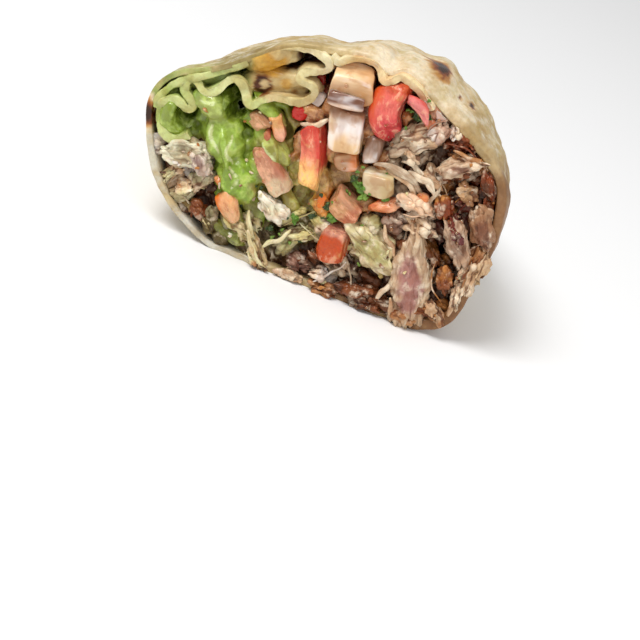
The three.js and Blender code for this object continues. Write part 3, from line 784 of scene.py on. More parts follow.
# The cut edges are paler than what lies behind them, partly their own cream and partly painted highlight.
# On the left, guacamole greens the folds, which are darkened with painted shade further in.
on_left = 1 - smooth(-30, -22, points[:, 0])
behind = smooth(0.2, 3.4, points[:, 1])
is_sheet = np.empty(len(points), np.float32)
gathers.data.attributes["sheet"].data.foreach_get("value", is_sheet)
tints = blend(tints, 0.3 * on_left * (1 - behind), LIP_GREEN_AND_HIGHLIGHT)
tints = blend(tints, 0.42 * (is_sheet * (1 - smooth(-1.4, 0.4, points[:, 1]))), LIP_CREAM_AND_HIGHLIGHT)
tints = blend(tints, 0.85 * on_left * behind, FOLD_GREEN_AND_SHADE)
toast = np.random.default_rng(17)
spots = [
    (toast.uniform(-30, 16), toast.uniform(43, 62), toast.uniform(0.5, 1.7), TOAST_SHADES[k % 4])
    for k in range(TOAST_SPOTS)
]
tints = blend(tints, smooth(1.2, 3.0, points[:, 1]), dabbed(points, tints, spots + PAINTED_FOLD_SHADOWS, 0.3))
colour(gathers, tints)
mark(gathers, "outside", 0)
mark(gathers, "griddled", 0)
gathers.data.materials.append(tortilla_finish)
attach(gathers, "root")
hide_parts("tortilla")

# ---------- guacamole ----------
# Mashed avocado, spooned in on the left: a wet, creamy mass with bright fresh lumps and darker
# hollows. It fills the space round the dice there, and smears on to the meat below.

CORE_VOXEL = 0.9               # mm, grain of a mass deep in the roll
FINE_VOXEL = 0.38              # mm, where it shows


def core_of(node, name, rounds):
    """The mass behind the pieces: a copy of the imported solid, with its faces made even and soft."""
    piece = bpy.data.objects.new(name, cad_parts[node].data.copy())
    bpy.context.scene.collection.objects.link(piece)
    pick(piece)
    bpy.ops.object.mode_set(mode="EDIT")
    bpy.ops.mesh.select_all(action="SELECT")
    bpy.ops.mesh.remove_doubles(threshold=1e-6)
    bpy.ops.object.mode_set(mode="OBJECT")
    piece.data.materials.clear()
    melted(piece, CORE_VOXEL, rounds)
    return piece


def melted(piece, voxel, rounds):
    """Runs a piece's parts together into one even, soft skin."""
    finish_with(piece, "REMESH", mode="VOXEL", voxel_size=voxel * MM)
    soften(piece, rounds)
    bpy.ops.object.shade_smooth()


def heaped(name, specs, square, seed, rough, rounds):
    """Spoonfuls run together into one mass: a spec is size, place and turn in degrees."""
    lumps = [lump(*spec, square, seed + k, rough, 4) for k, spec in enumerate(specs)]
    mass = join(name, lumps)
    melted(mass, FINE_VOXEL, rounds)
    return mass


def at_front(points):
    """1 where a mass shows at the cut, 0 deep in the roll."""
    return 1 - smooth(6, 12, points[:, 1])


def sink(piece, hollows):
    """Presses hollows (x, z, radius, depth) into the front of a mass."""
    points = points_of(piece)
    ragged = noise_at(points / 2.2)
    for x, z, radius, depth in hollows:
        far = np.hypot(points[:, 0] - x, points[:, 2] - z) / radius + 0.25 * ragged
        part = 1 - smooth(0.55, 1.05, far)
        points[:, 1] += part * np.maximum(depth - points[:, 1], 0)
    set_points(piece, points)


AVOCADO = (150, 172, 66)
AVOCADO_PALE = (196, 208, 116)
AVOCADO_DARK = (72, 78, 18)
# The next shade is the pale green of the painted highlights.
GLINT_PALE = (218, 228, 170)
guacamole_finish, tree, shader = new_finish("guacamole", {
    "Roughness": 0.24, "Specular IOR Level": 0.5, "Subsurface Weight": 0.35,
    "Subsurface Radius": (1.0, 1.0, 0.4), "Subsurface Scale": 0.001, "Specular Tint": (1, 0.96, 0.7, 1),
    "Coat Weight": 0.45, "Coat Roughness": 0.07,
})
place = millimetres(tree)
ground = reads(tree, "tint", "Color")
pulp = speckle(tree, warped(tree, place, 3.0, 2.0), 2.6, 4.0, 0.55)
ground = glazed(tree, ground, pulp, (0.40, 0.62), (0.55, 0.0), (170, 160, 80), "MULTIPLY")
ground = glazed(tree, ground, pulp, (0.52, 0.72), (0.0, 0.6), AVOCADO_PALE)
fleck = speckle(tree, place, 0.7, 3.0, 0.6)
ground = glazed(tree, ground, fleck, (0.62, 0.74), (0.0, 0.55), AVOCADO_DARK)
relief = math_node(tree, "ADD", pulp, math_node(tree, "MULTIPLY", fleck, 0.25))
painted(tree, shader, ground, relief, 0.0003)

guacamole_core = core_of("guacamole", "guacamole_core", 4)
roughen(guacamole_core, 1.2, 6, 11, where=at_front)

# Spoonfuls and smears that show: size, place, turn in degrees.
AVOCADO_LUMPS = [
    ((14, 8, 8.4), (-25.2, 1.2, 29.4), -50), ((12, 6, 2.6), (-23.6, -1.4, 28), -62),
    ((13, 8, 9.4), (-18.2, 1.0, 20.6), -46), ((10, 7, 5), (-14.4, 2.2, 25), -50),
    ((15, 7, 6), (-12.6, 2.4, 32), -36), ((9, 6, 4), (-8, 2.6, 26.6), -52),
    ((9.6, 8, 7), (-30.6, 1.0, 36.4), -14), ((8, 8, 4), (-21.4, 3.2, 37.4), -30),
    ((4.4, 6, 8.6), (-40.2, 0.8, 30.6), 6), ((7, 6, 5), (-37.8, 2.2, 27), 0),
    ((12, 6, 4), (-17.6, 2.2, 41), -22), ((7, 6, 4.4), (-24, 3, 33.6), -30),
    ((12, 5, 3.4), (-15, 1.6, 10.8), -52), ((7, 5, 3.4), (-10.6, 2.4, 18), -60),
    ((8, 5, 4), (-4.6, 2.6, 20.6), -40), ((6, 5, 3.4), (-29, 2.4, 24), -20),
    ((9, 3, 2.2), (-22, -1.8, 24.4), -62), ((10, 5, 4.4), (-15.6, 1.2, 6.4), -17),
    ((8, 3, 1.8), (-12.8, -0.6, 30.8), -40),
]
AVOCADO_HOLLOWS = [
    (-12, 56.5, 5, 14), (-8, 54, 4.4, 14), (-36, 32, 2.8, 8), (-25, 42, 3.4, 8), (-24.6, 37.6, 2.6, 6),
    (-33, 29.4, 1.6, 5), (-20, 32.4, 1.6, 4),
]
guacamole = heaped("guacamole_lumps", AVOCADO_LUMPS, 0.92, 40, 0.22, 14)
roughen(guacamole, 0.7, 6.5, 12)
roughen(guacamole, 0.16, 1.5, 13)
guacamole = join("guacamole_mass", [guacamole, guacamole_core])
keep_inside(guacamole, SHEET)
sink(guacamole, AVOCADO_HOLLOWS)

# The dark greens at (-25, 40) and (-36, 32) are painted shade in the hollows pressed in there.
AVOCADO_DABS = [
    (-26, 29, 6, (160, 190, 78)), (-18, 20.6, 7, (142, 176, 54)), (-34, 37, 8, (150, 176, 80)),
    (-12.6, 31.6, 6, (160, 160, 78)), (-7, 22, 8, (166, 152, 82)), (-15, 10, 7, (170, 168, 96)),
    (-30.6, 36.6, 4.4, (170, 184, 96)), (-25, 40, 5, (110, 132, 36)), (-36, 32, 3.2, (104, 124, 32)),
    (-30, 24.4, 4, (150, 150, 74)), (-10, 38, 5, (176, 160, 92)), (-24.5, 9, 5, (110, 112, 44)),
    (-16, 6.4, 4, (118, 122, 46)),
]
# Painted highlights, wet glints drawn out into pale streaks: two ends, width.
GLINT_STREAKS = [
    ((-29.4, 32.6), (-25.6, 26.8), 0.8), ((-24, 32), (-21.4, 25.4), 0.55), ((-15.4, 33), (-11, 29.2), 0.6),
    ((-20.4, 24.6), (-18, 19.4), 0.5), ((-8, 27), (-6.6, 25), 0.8), ((-33, 37.4), (-29.6, 38.6), 0.6),
]
DABS_PER_GLINT = 24               # dabs that draw one streak
glint_dabs = []
for (x0, z0), (x1, z1), width in GLINT_STREAKS:
    for part in np.linspace(0, 1, DABS_PER_GLINT):
        sway = 0.7 * math.sin(6 * part + x0)
        thick = width * (0.35 + 0.5 * math.sin(math.pi * part))
        glint_dabs.append((x0 + part * (x1 - x0) + sway, z0 + part * (z1 - z0), thick, GLINT_PALE))
points = points_of(guacamole)
colour(guacamole, dabbed(points, dabbed(points, AVOCADO, AVOCADO_DABS), glint_dabs, 0.12))
guacamole.data.materials.append(guacamole_finish)
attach(guacamole, "root")
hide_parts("guacamole")

# ---------- salsa ----------
# Tomato pulp and juice that has run in among the dice up the middle of the cut: wet, orange to
# brown, and yellow-green where guacamole has mixed in.

SALSA_COLOUR = (178, 122, 74)
salsa_finish, tree, shader = new_finish("salsa", {
    "Roughness": 0.18, "Subsurface Weight": 0.3, "Subsurface Radius": (1.0, 0.5, 0.2),
    "Subsurface Scale": 0.0012, "Specular Tint": (1, 0.84, 0.6, 1),
    "Coat Weight": 0.4, "Coat Roughness": 0.06,
})
place = millimetres(tree)
ground = reads(tree, "tint", "Color")
pulp = speckle(tree, warped(tree, place, 2.0, 2.0), 1.9, 4.0, 0.6)
ground = glazed(tree, ground, pulp, (0.36, 0.56), (0.6, 0.0), (160, 110, 60), "MULTIPLY")
ground = glazed(tree, ground, pulp, (0.54, 0.72), (0.0, 0.7), (222, 180, 128))
painted(tree, shader, ground, pulp, 0.0006)

PULP_LUMPS = [
    ((6, 6, 8), (5, 3.2, 52), 0), ((5, 6, 9), (7.2, 3.0, 46), 0), ((7, 6, 5), (4, 2.8, 39), 20),
    ((9, 5, 5), (1.4, 3.0, 28), -66), ((6, 4, 4.4), (9.2, 3.2, 34.4), 30), ((7, 6, 5), (14.6, 3.4, 40), 70),
    ((5, 5, 6), (-6.6, 2.6, 36), 0), ((7, 6, 5), (-7, 2.8, 44), -20), ((6, 4, 4), (13.6, 2.8, 27), 10),
    ((6, 6, 4), (16, 2.8, 51.6), -30), ((5, 5, 4), (20, 2.4, 56.4), -30), ((7, 5, 4), (3.4, 1.8, 22.8), -40),
    ((7, 6, 5), (-2.6, 3, 48.4), 40), ((5, 5, 9), (-5.6, 2.2, 29), 14), ((6, 4, 4), (1.6, 1.4, 37.6), -70),
]
PULP_HOLLOWS = [(-8, 55, 4.4, 9), (7.6, 57.2, 2.4, 8), (17, 51.4, 1.6, 7), (8.4, 50, 1.6, 6)]
salsa_core = core_of("salsa", "salsa_core", 3)
salsa = heaped("salsa_lumps", PULP_LUMPS, 0.7, 80, 0.18, 16)
salsa = join("salsa_pulp", [salsa, salsa_core])
roughen(salsa, 0.7, 4.4, 21, where=at_front)
roughen(salsa, 0.2, 1.3, 22, where=at_front)
sink(salsa, PULP_HOLLOWS)

# The dark maroon and brown at (-6, 55), (6, 58) and (6.6, 50) are painted shade in the hollows pressed in
# there.
SALSA_DABS = [
    (-6, 55, 6, (104, 26, 14)), (-8, 50, 3, (150, 60, 40)), (6.6, 50, 5, (120, 62, 34)),
    (6, 58, 4, (110, 40, 16)), (0.6, 38.4, 4, (196, 140, 84)), (-6, 28.6, 4, (124, 118, 44)),
    (2, 30, 8, (186, 146, 82)), (-2, 22, 7, (164, 154, 78)), (9, 31, 6, (198, 158, 104)),
    (14, 46, 5, (128, 82, 62)), (4.5, 24, 3.6, (214, 138, 52)), (22, 56, 5, (196, 140, 110)),
    (-4, 40, 6, (206, 156, 118)), (18, 42, 5, (110, 84, 66)),
]
colour(salsa, dabbed(points_of(salsa), SALSA_COLOUR, SALSA_DABS))
salsa.data.materials.append(salsa_finish)
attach(salsa, "root")
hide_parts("salsa")

# ---------- tomatoes ----------
# Ripe tomato in knife-cut dice: firm red skin on one face, paler flesh with a yellow heart on the
# others, all wet with juice. Their faces are flat and their edges have gone soft.

CUBE_FACES = [(1, 0, 0), (-1, 0, 0), (0, 1, 0), (0, -1, 0), (0, 0, 1), (0, 0, -1)]


def keep_grain(piece, local, seed):
    """Keeps each point's place within its piece, in mm, so that a finish can follow the piece's length."""
    layer = piece.data.attributes.new("grain", "FLOAT_VECTOR", "POINT")
    layer.data.foreach_set("vector", (local + 61.3 * seed).astype(np.float32).ravel())


def drawn_out(tree, shrink):
    """A point's place within its piece, with its length shrunk, so that a pattern there comes out long."""
    return vector_node(tree, "MULTIPLY", {0: reads(tree, "grain", "Vector"), 1: (shrink, 1.0, 1.0)})


def chopped(size, seed, detail=4, close=0.6, loose=0.78, stray=0.28, rough=0.2):
    """A piece with flat knife-cut faces and rounded corners, about its own middle, size in mm."""
    piece, unit = unit_ball(detail)
    knife = np.random.default_rng(seed)
    for face in CUBE_FACES:
        way = np.array(face) + knife.normal(0, stray, 3)
        way /= np.linalg.norm(way)
        over = unit @ way - knife.uniform(close, loose)
        unit -= np.maximum(over, 0)[:, None] * way
    unit *= (1 + rough * waves_at(unit * 1.8 + seed * 5.3, 3))[:, None]
    unit /= np.abs(unit).max(axis=0)
    return piece, unit * np.array(size) / 2


tomato_finish, tree, shader = new_finish("diced_tomato", {
    "Roughness": 0.2, "Subsurface Weight": 0.25, "Subsurface Radius": (1.0, 0.35, 0.2),
    "Subsurface Scale": 0.001, "Specular Tint": (1, 0.8, 0.64, 1),
    "Coat Weight": 0.3, "Coat Roughness": 0.06,
})
place = millimetres(tree)
ground = reads(tree, "tint", "Color")
vein = speckle(tree, warped(tree, drawn_out(tree, 0.6), 2.0, 1.2), 1.7, 4.0, 0.6)
flesh = math_node(tree, "SUBTRACT", 1.0, reads(tree, "skinned"))
veined = math_node(tree, "MULTIPLY", stepped(tree, vein, 0.5, 0.64, (0.0, 0.6)), flesh)
ground = mixed(tree, veined, ground, (246, 186, 150))
hollows = math_node(tree, "MULTIPLY", stepped(tree, vein, 0.34, 0.5, (0.45, 0.0)), flesh)
ground = mixed(tree, hollows, ground, (196, 110, 84), "MULTIPLY")
smear = speckle(tree, warped(tree, place, 2.0, 1.5), 3.0, 3.0)
ground = glazed(tree, ground, smear, (0.58, 0.72), (0.0, 0.3), (206, 176, 96))
painted(tree, shader, ground, vein, 0.0009)


def dice(size, at, turn, lean, seed, flesh, skin, side, tip=None, detail=4, root=None, bend=0, rough=0.14):
    """One dice of tomato or onion. Its skin is on the face that side points to, its ends may differ in
    colour, and a wedge of a round wall is bent to a radius of that many mm."""
    piece, local = chopped(size, seed, detail, rough=rough, stray=0.28 if rough > 0.1 else 0.1)
    keep_grain(piece, local, seed)
    shaped = local.copy()
    if bend:
        angle = local[:, 0] / bend
        shaped[:, 0] = (bend + local[:, 2]) * np.sin(angle)
        shaped[:, 2] = (bend + local[:, 2]) * np.cos(angle) - bend
    put(piece, shaped, at, turn, lean)
    soften(piece, 5 if detail == 4 else 12)
    roughen(piece, 1.4 * rough, 2.6, seed, octaves=3)
    drift = 0.12 * noise_at(local / 2.4 + seed)
    along = local[:, 0] / size[0] + 0.5 + drift
    skinned = smooth(0.1, 0.3, (local / np.array(size)) @ np.array(side) + drift)
    tints = linear(flesh)
    if tip:
        tints = blend(tints, smooth(0.42, 0.76, along), tip)
        skinned *= 1 - 0.8 * smooth(0.5, 0.75, along)
    if root:
        tints = blend(tints, smooth(0.4, 0.14, along), root)
        skinned *= smooth(0.14, 0.32, along)
    mark(piece, "skinned", skinned)
    colour(piece, blend(tints, skinned, skin))
    return piece


# The sides that a dice's skin can be on, before the dice is turned.
UP, OVER, OUT = (0, 0, 1), (0, 0, -1), (0, -1, 0)
# Size, place, turn, lean, seed, flesh, skin and the skin's side. Some go on with the far end's colour,
# detail, the near end's colour, bend and roughness.
TOMATOES = [
    ((20, 10, 9.6), (9.8, 1.4, 53.6), -82, 10, 3, (226, 104, 92), (222, 84, 34), OVER, (216, 70, 74), 5,
     (200, 76, 34), -12),
    ((10.4, 6, 4.0), (16.6, -1.0, 56.6), -24, -10, 4, (224, 124, 120), (212, 84, 76), UP, None, 4, None, 14),
    ((20, 8, 6.0), (-2.6, 1.0, 34.4), -72, 8, 5, (230, 124, 96), (208, 62, 50), UP, (252, 206, 120), 5,
     (204, 60, 44), 30, 0.1),
    ((5.4, 5, 4.4), (-9.9, 1.8, 43.4), 20, 0, 6, (200, 74, 50), (196, 30, 26), OUT),
    ((15, 7, 7.0), (-11.0, 1.2, 26.8), -44, 12, 7, (196, 136, 104), (178, 112, 84), UP, (214, 190, 154), 5,
     None, 0, 0.1),
    ((11, 6, 6.4), (-18.4, -0.8, 14.2), -56, 0, 8, (230, 166, 112), (222, 112, 24), OVER, (226, 176, 126)),
    ((10.6, 8, 7.6), (10.2, 0.8, 14.6), -84, 16, 19, (196, 108, 70), (190, 64, 0), OUT, (186, 66, 0), 5,
     (200, 134, 110), 0, 0.05),
    ((7.4, 6, 6), (-18.3, 1.6, 37.4), -20, 0, 10, (188, 140, 96), (176, 126, 92), UP),
    ((8.6, 6, 4.6), (-13.8, 1.4, 38.0), -46, 0, 11, (214, 158, 96), (206, 116, 40), OVER, (224, 160, 130)),
    ((9.6, 7, 7.4), (9.4, 0.8, 25.4), -20, 14, 12, (204, 152, 104), (196, 140, 104), UP, (190, 112, 76), 5,
     None, 0, 0.1),
    ((9.4, 6, 4.4), (18.3, 0.6, 29.6), 24, -10, 13, (214, 126, 74), (206, 96, 54), UP, (226, 160, 120)),
    # This small dice deep at the top is dark red: its own red darkened with painted shade.
    ((4.4, 4, 2.6), (-8.0, 4.2, 52.4), -85, 0, 14, (112, 20, 18), (140, 24, 20), OUT),
    ((4, 4, 2.8), (-6.0, 0.6, 39.2), -60, 0, 15, (226, 130, 100), (214, 104, 70), OUT),
    ((4.4, 3, 2.6), (3.2, 0.2, 24.2), -80, 0, 16, (226, 140, 50), (216, 110, 30), OUT),
    ((3, 3, 2), (-22.6, 0.0, 19.2), -50, 0, 17, (214, 156, 104), (210, 130, 70), OUT),
    ((3.4, 3, 2.2), (26.4, -0.4, 35.4), 10, 0, 18, (226, 160, 114), (214, 124, 70), OUT),
    ((4, 4, 3), (-15.4, 1.0, 34.4), -60, 0, 20, (186, 112, 84), (176, 96, 66), OUT),
    ((4, 4, 3.6), (20.8, 1.6, 53), 0, 0, 21, (226, 170, 136), (220, 140, 100), OUT),
]
tomatoes = join("tomato_dice", [dice(*spec) for spec in TOMATOES])
keep_inside(tomatoes, SHEET + 0.4)
tomatoes.data.materials.append(tomato_finish)
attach(tomatoes, "root")
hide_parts(*[f"tomato_{k:02d}" for k in range(1, 12)])

# ---------- onions ----------
# White onion in dice: wet, half clear, with the faint lines of its layers, and stained orange or
# mauve by the juice of what lies next to it.

ONION_WHITE = (232, 222, 208)
onion_finish, tree, shader = new_finish("diced_onion", {
    "Roughness": 0.2, "Subsurface Weight": 0.4, "Subsurface Radius": (1.2, 0.9, 0.7),
    "Subsurface Scale": 0.0012, "Specular Tint": (1, 0.9, 0.8, 1),
    "Coat Weight": 0.3, "Coat Roughness": 0.07,
})
place = millimetres(tree)
ground = reads(tree, "tint", "Color")
layers = speckle(tree, warped(tree, drawn_out(tree, 0.3), 3.0, 1.5), 3.0, 2.0, 0.5)
ground = glazed(tree, ground, layers, (0.36, 0.6), (0.35, 0.0), (206, 170, 150), "MULTIPLY")
ground = glazed(tree, ground, layers, (0.52, 0.72), (0.0, 0.5), (250, 246, 246))
stain = speckle(tree, warped(tree, place, 3.0, 2.0), 3.6, 3.0)
ground = glazed(tree, ground, stain, (0.5, 0.68), (0.0, 0.5), (216, 168, 124), "MULTIPLY")
painted(tree, shader, ground, layers, 0.0004)

# The specs read as those of the tomatoes.
ONIONS = [
    ((11.8, 9, 9.8), (-0.4, 1.0, 55.0), 12, 24, 31, (216, 178, 136), (240, 208, 162), UP, (214, 166, 114), 5),
    ((14, 9, 10.2), (2.4, 1.0, 44.2), -78, 6, 32, (238, 228, 222), (222, 196, 160), OVER, (230, 194, 144), 5,
     (158, 120, 92)),
    ((6.6, 6, 5), (5.4, 1.4, 36.4), 20, 0, 33, (172, 128, 88), (206, 172, 130), UP, (214, 130, 66)),
    ((8.6, 6, 5.4), (10.2, 2.2, 41.4), -84, 0, 34, (132, 100, 78), (148, 116, 96), UP, (206, 192, 180)),
    ((8.6, 7, 7), (14.6, 0.6, 34.4), 12, 10, 35, (216, 198, 158), (226, 212, 176), UP, (206, 186, 136)),
    ((4.4, 5, 3.4), (18.8, 1.4, 58.6), -30, 0, 36, ONION_WHITE, ONION_WHITE, UP),
    ((4.2, 5, 3), (22.4, 1.6, 56.4), -50, 0, 37, (226, 196, 180), ONION_WHITE, UP),
    ((4.4, 4, 4), (-7.2, 2.2, 48.2), -20, 0, 38, (186, 168, 156), (200, 186, 176), OUT),
    ((9.6, 4.4, 4.2), (-0.4, -1.6, 51.4), 10, 0, 39, (116, 74, 54), (214, 188, 168), OVER),
]
onions = join("onion_dice", [dice(*spec, rough=0.07) for spec in ONIONS])
keep_inside(onions, SHEET + 0.4)
onions.data.materials.append(onion_finish)
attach(onions, "root")
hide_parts(*[f"onion_{k:02d}" for k in range(1, 7)])

# ---------- cilantro ----------
# Fresh cilantro, chopped: a few leaves, dark, thin and crumpled, and small bits of leaf and stem.
# They were strewn over the filling and cling to it where it is wet.

cilantro_finish, tree, shader = new_finish("cilantro", {
    "Roughness": 0.45, "Subsurface Weight": 0.1, "Subsurface Radius": (0.3, 0.5, 0.1),
    "Subsurface Scale": 0.0005, "Coat Weight": 0.1, "Coat Roughness": 0.2,
})
ground = reads(tree, "tint", "Color")
fleck = speckle(tree, millimetres(tree), 0.7, 3.0, 0.6)
ground = glazed(tree, ground, fleck, (0.5, 0.7), (0.0, 0.6), (122, 156, 62))
painted(tree, shader, ground, fleck, 0.0003)

LEAF_THICKNESS = 0.35          # mm
LEAF_GREEN = (88, 128, 34)
LEAF_DARK = (42, 62, 14)
LEAF_PALE = (120, 150, 58)


def leaf(length, at, turn, lean, seed, shade, detail=22):
    """A lobed leaf, crumpled, as thin as one: a disc of points drawn out into lobes."""
    bpy.ops.object.select_all(action="DESELECT")
    bpy.ops.mesh.primitive_grid_add(x_subdivisions=detail, y_subdivisions=detail, size=2)
    piece = bpy.context.object
    u, v, _ = triples(piece.data.vertices, "co").T
    x, z = u * np.sqrt(1 - v * v / 2), v * np.sqrt(1 - u * u / 2)
    angle = np.arctan2(z, x)
    far = np.hypot(x, z)
    lobes = 1 - 0.42 * np.abs(np.sin(1.5 * angle + seed)) ** 3 - 0.14 * np.abs(np.sin(5 * angle + 2 * seed))
    crumple = waves_at(np.stack([x * 1.3, z * 1.3, np.full(len(x), seed * 2.7)], axis=1), 2)
    local = np.stack([x * lobes, 0.5 * crumple + 0.25 * far ** 2, z * lobes * 0.66], axis=1) * length / 2
    put(piece, local, at, turn, lean)
    finish_with(piece, "SOLIDIFY", thickness=LEAF_THICKNESS * MM, offset=0)
    colour(piece, shade)
    return piece


# Length, place, turn, lean, seed, colour.
LEAVES = [
    (6.2, (10.2, -0.8, 31.6), -30, 20, 1, LEAF_GREEN), (5.4, (6.8, -0.4, 21.6), 14, -20, 2, LEAF_GREEN),
    (4.2, (17.4, -0.2, 53.6), -10, 10, 3, LEAF_DARK), (3.2, (14.2, 0.2, 60.2), 60, 10, 4, LEAF_DARK),
    (3.4, (12.4, -0.6, 29.6), 50, -15, 5, LEAF_PALE), (3.0, (5, -0.6, 23.6), 80, 20, 6, LEAF_DARK),
    (3.4, (-1.4, -0.4, 17.2), -60, 0, 7, LEAF_GREEN), (2.6, (-6.4, -0.8, 12.4), 30, 0, 8, LEAF_DARK),
    (2.4, (17.6, -1.4, 31.4), 10, 0, 9, LEAF_GREEN), (2.2, (19.6, -1.0, 55), 0, 0, 10, LEAF_DARK),
    (2.6, (8.6, -1.2, 33.4), 70, 10, 11, LEAF_DARK), (2.4, (2.4, -0.6, 19.6), 20, 0, 12, LEAF_DARK),
]
# Where the small bits of leaf lie: x, z, spread.
LEAF_SPOTS = [(8, 30, 5), (4, 20, 5), (-4, 14, 5), (16, 54, 4), (-12, 18, 7), (14, 24, 8)]
LEAF_BITS = 42
leaves = [leaf(*spec) for spec in LEAVES]
pinch = np.random.default_rng(3)
for k in range(LEAF_BITS):
    x, z, spread = LEAF_SPOTS[k % len(LEAF_SPOTS)]
    x += pinch.normal(0, spread * 0.7)
    at = (x, pinch.uniform(-1.6, 0.4), max(5, z + pinch.normal(0, spread * 0.7)))
    shade = (LEAF_GREEN, LEAF_DARK, LEAF_PALE)[k % 3]
    length, turn, lean = pinch.uniform(0.7, 1.6), pinch.uniform(0, 180), pinch.normal(0, 30)
    leaves.append(leaf(length, at, turn, lean, 20 + k, shade, 7))
cilantro = join("cilantro_leaves", leaves)
cilantro.data.materials.append(cilantro_finish)
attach(cilantro, "root")
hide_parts("cilantro_01", "cilantro_02", "cilantro_03")

# ---------- pulled pork ----------
# Roast pork pulled into chunks and shreds: bundles of fibres, pale inside, browned and crisp
# where they were the roast's outside. The heap fills the rest of the roll behind those that show.

CREAM = (226, 206, 178)
WHITE = (234, 226, 216)
BEIGE = (206, 174, 138)
GREY = (190, 170, 144)
MAUVE = (184, 144, 122)
TAN = (178, 126, 80)
GOLD = (190, 128, 66)
BROWN = (128, 70, 36)
RUSSET = (138, 62, 26)
BARK = (88, 46, 24)
WINE = (122, 50, 40)
GREENISH = (204, 196, 128)
LIME_CREAM = (222, 214, 164)

pork_finish, tree, shader = new_finish("roast_pork", {
    "Roughness": 0.34, "Specular IOR Level": 0.45, "Specular Tint": (1, 0.78, 0.58, 1),
    "Subsurface Weight": 0.12, "Subsurface Radius": (1.0, 0.6, 0.4), "Subsurface Scale": 0.0006,
    "Coat Weight": 0.12, "Coat Roughness": 0.1,
})
grain = reads(tree, "grain", "Vector")
ground = reads(tree, "tint", "Color")
crest = reads(tree, "crest")
drawn = vector_node(tree, "MULTIPLY", {0: grain, 1: (0.2, 1.0, 1.0)})
fibre = speckle(tree, warped(tree, drawn, 3.0, 0.8), 1.3, 2.0, 0.5)
patch = speckle(tree, warped(tree, grain, 2.4, 1.6), 2.8, 3.0, 0.6)
ground = glazed(tree, ground, patch, (0.36, 0.56), (0.4, 0.0), (204, 156, 108), "MULTIPLY")
# The pale patches are partly the meat's paler fibre and partly painted highlight.
ground = glazed(tree, ground, patch, (0.52, 0.66), (0.0, 0.5), (240, 222, 194))
ground = glazed(tree, ground, fibre, (0.36, 0.54), (0.35, 0.0), (180, 126, 88), "MULTIPLY")
ground = glazed(tree, ground, patch, (0.62, 0.74), (0.0, 0.4), (250, 240, 226))
# Painted shade: the grooves between the fibres, where crest is low, are darkened.
ground = glazed(tree, ground, crest, (0.0, 0.4), (0.85, 0.0), (130, 84, 58), "MULTIPLY")
relief = math_node(tree, "ADD", fibre, math_node(tree, "MULTIPLY", patch, 0.8))
painted(tree, shader, ground, relief, 0.0006)


def piece_axis(piece, local):
    """The way a placed piece's length runs."""
    points = points_of(piece)
    way = points[np.argmax(local[:, 0])] - points[np.argmin(local[:, 0])]
    return way / np.linalg.norm(way)


def fibrous(piece, local, size, seed, depth, pitch=2.4, torn=0.5):
    """Works the grain of meat into a piece: rounded fibres along its length, torn and frayed at the ends."""
    drift = local / 4.2 + seed * 2.3
    pushed = np.stack([noise_at(drift + (0, 0, apart)) for apart in (0.0, 17.3, 34.6)], axis=1)
    grid = (local + 1.1 * pushed) * (0.2, 1, 1) / pitch + seed * 3.1
    height = smooth(0, 1, 3.4 * np.abs(noise_at(grid)))
    tears = waves_at(local / 4.2 + seed * 1.7, 3, 0.9, 2.2)
    fray = noise_at(local * (0, 1, 1) / 0.9 + (seed, 0, 0))
    ends = smooth(0.22, 0.5, np.abs(local[:, 0]) / size[0]) * np.sign(local[:, 0])
    points = points_of(piece) + piece_axis(piece, local) * (0.13 * size[0] * fray * ends)[:, None]
    amount = depth * (height - 0.6) + torn * 2 * tears
    set_points(piece, points + outward(piece) * amount[:, None])
    return np.clip(height + 0.25 * tears, 0, 1), tears


def meat(size, at, turn, shade, other, seed, lean=0.0, detail=5):
    """One torn chunk or flake of pulled meat, which turns from one colour to another along its length."""
    piece, local = chopped(size, seed, detail, 0.5, 0.9, 0.4, 0.34)
    keep_grain(piece, local, seed)
    put(piece, local, at, turn, lean)
    crest, tears = fibrous(piece, local, size, seed, 0.3)
    mark(piece, "crest", crest)
    colour(piece, blend(linear(shade), smooth(0.3, 0.75, local[:, 0] / size[0] + 0.5 + 0.7 * tears), other))
    return piece


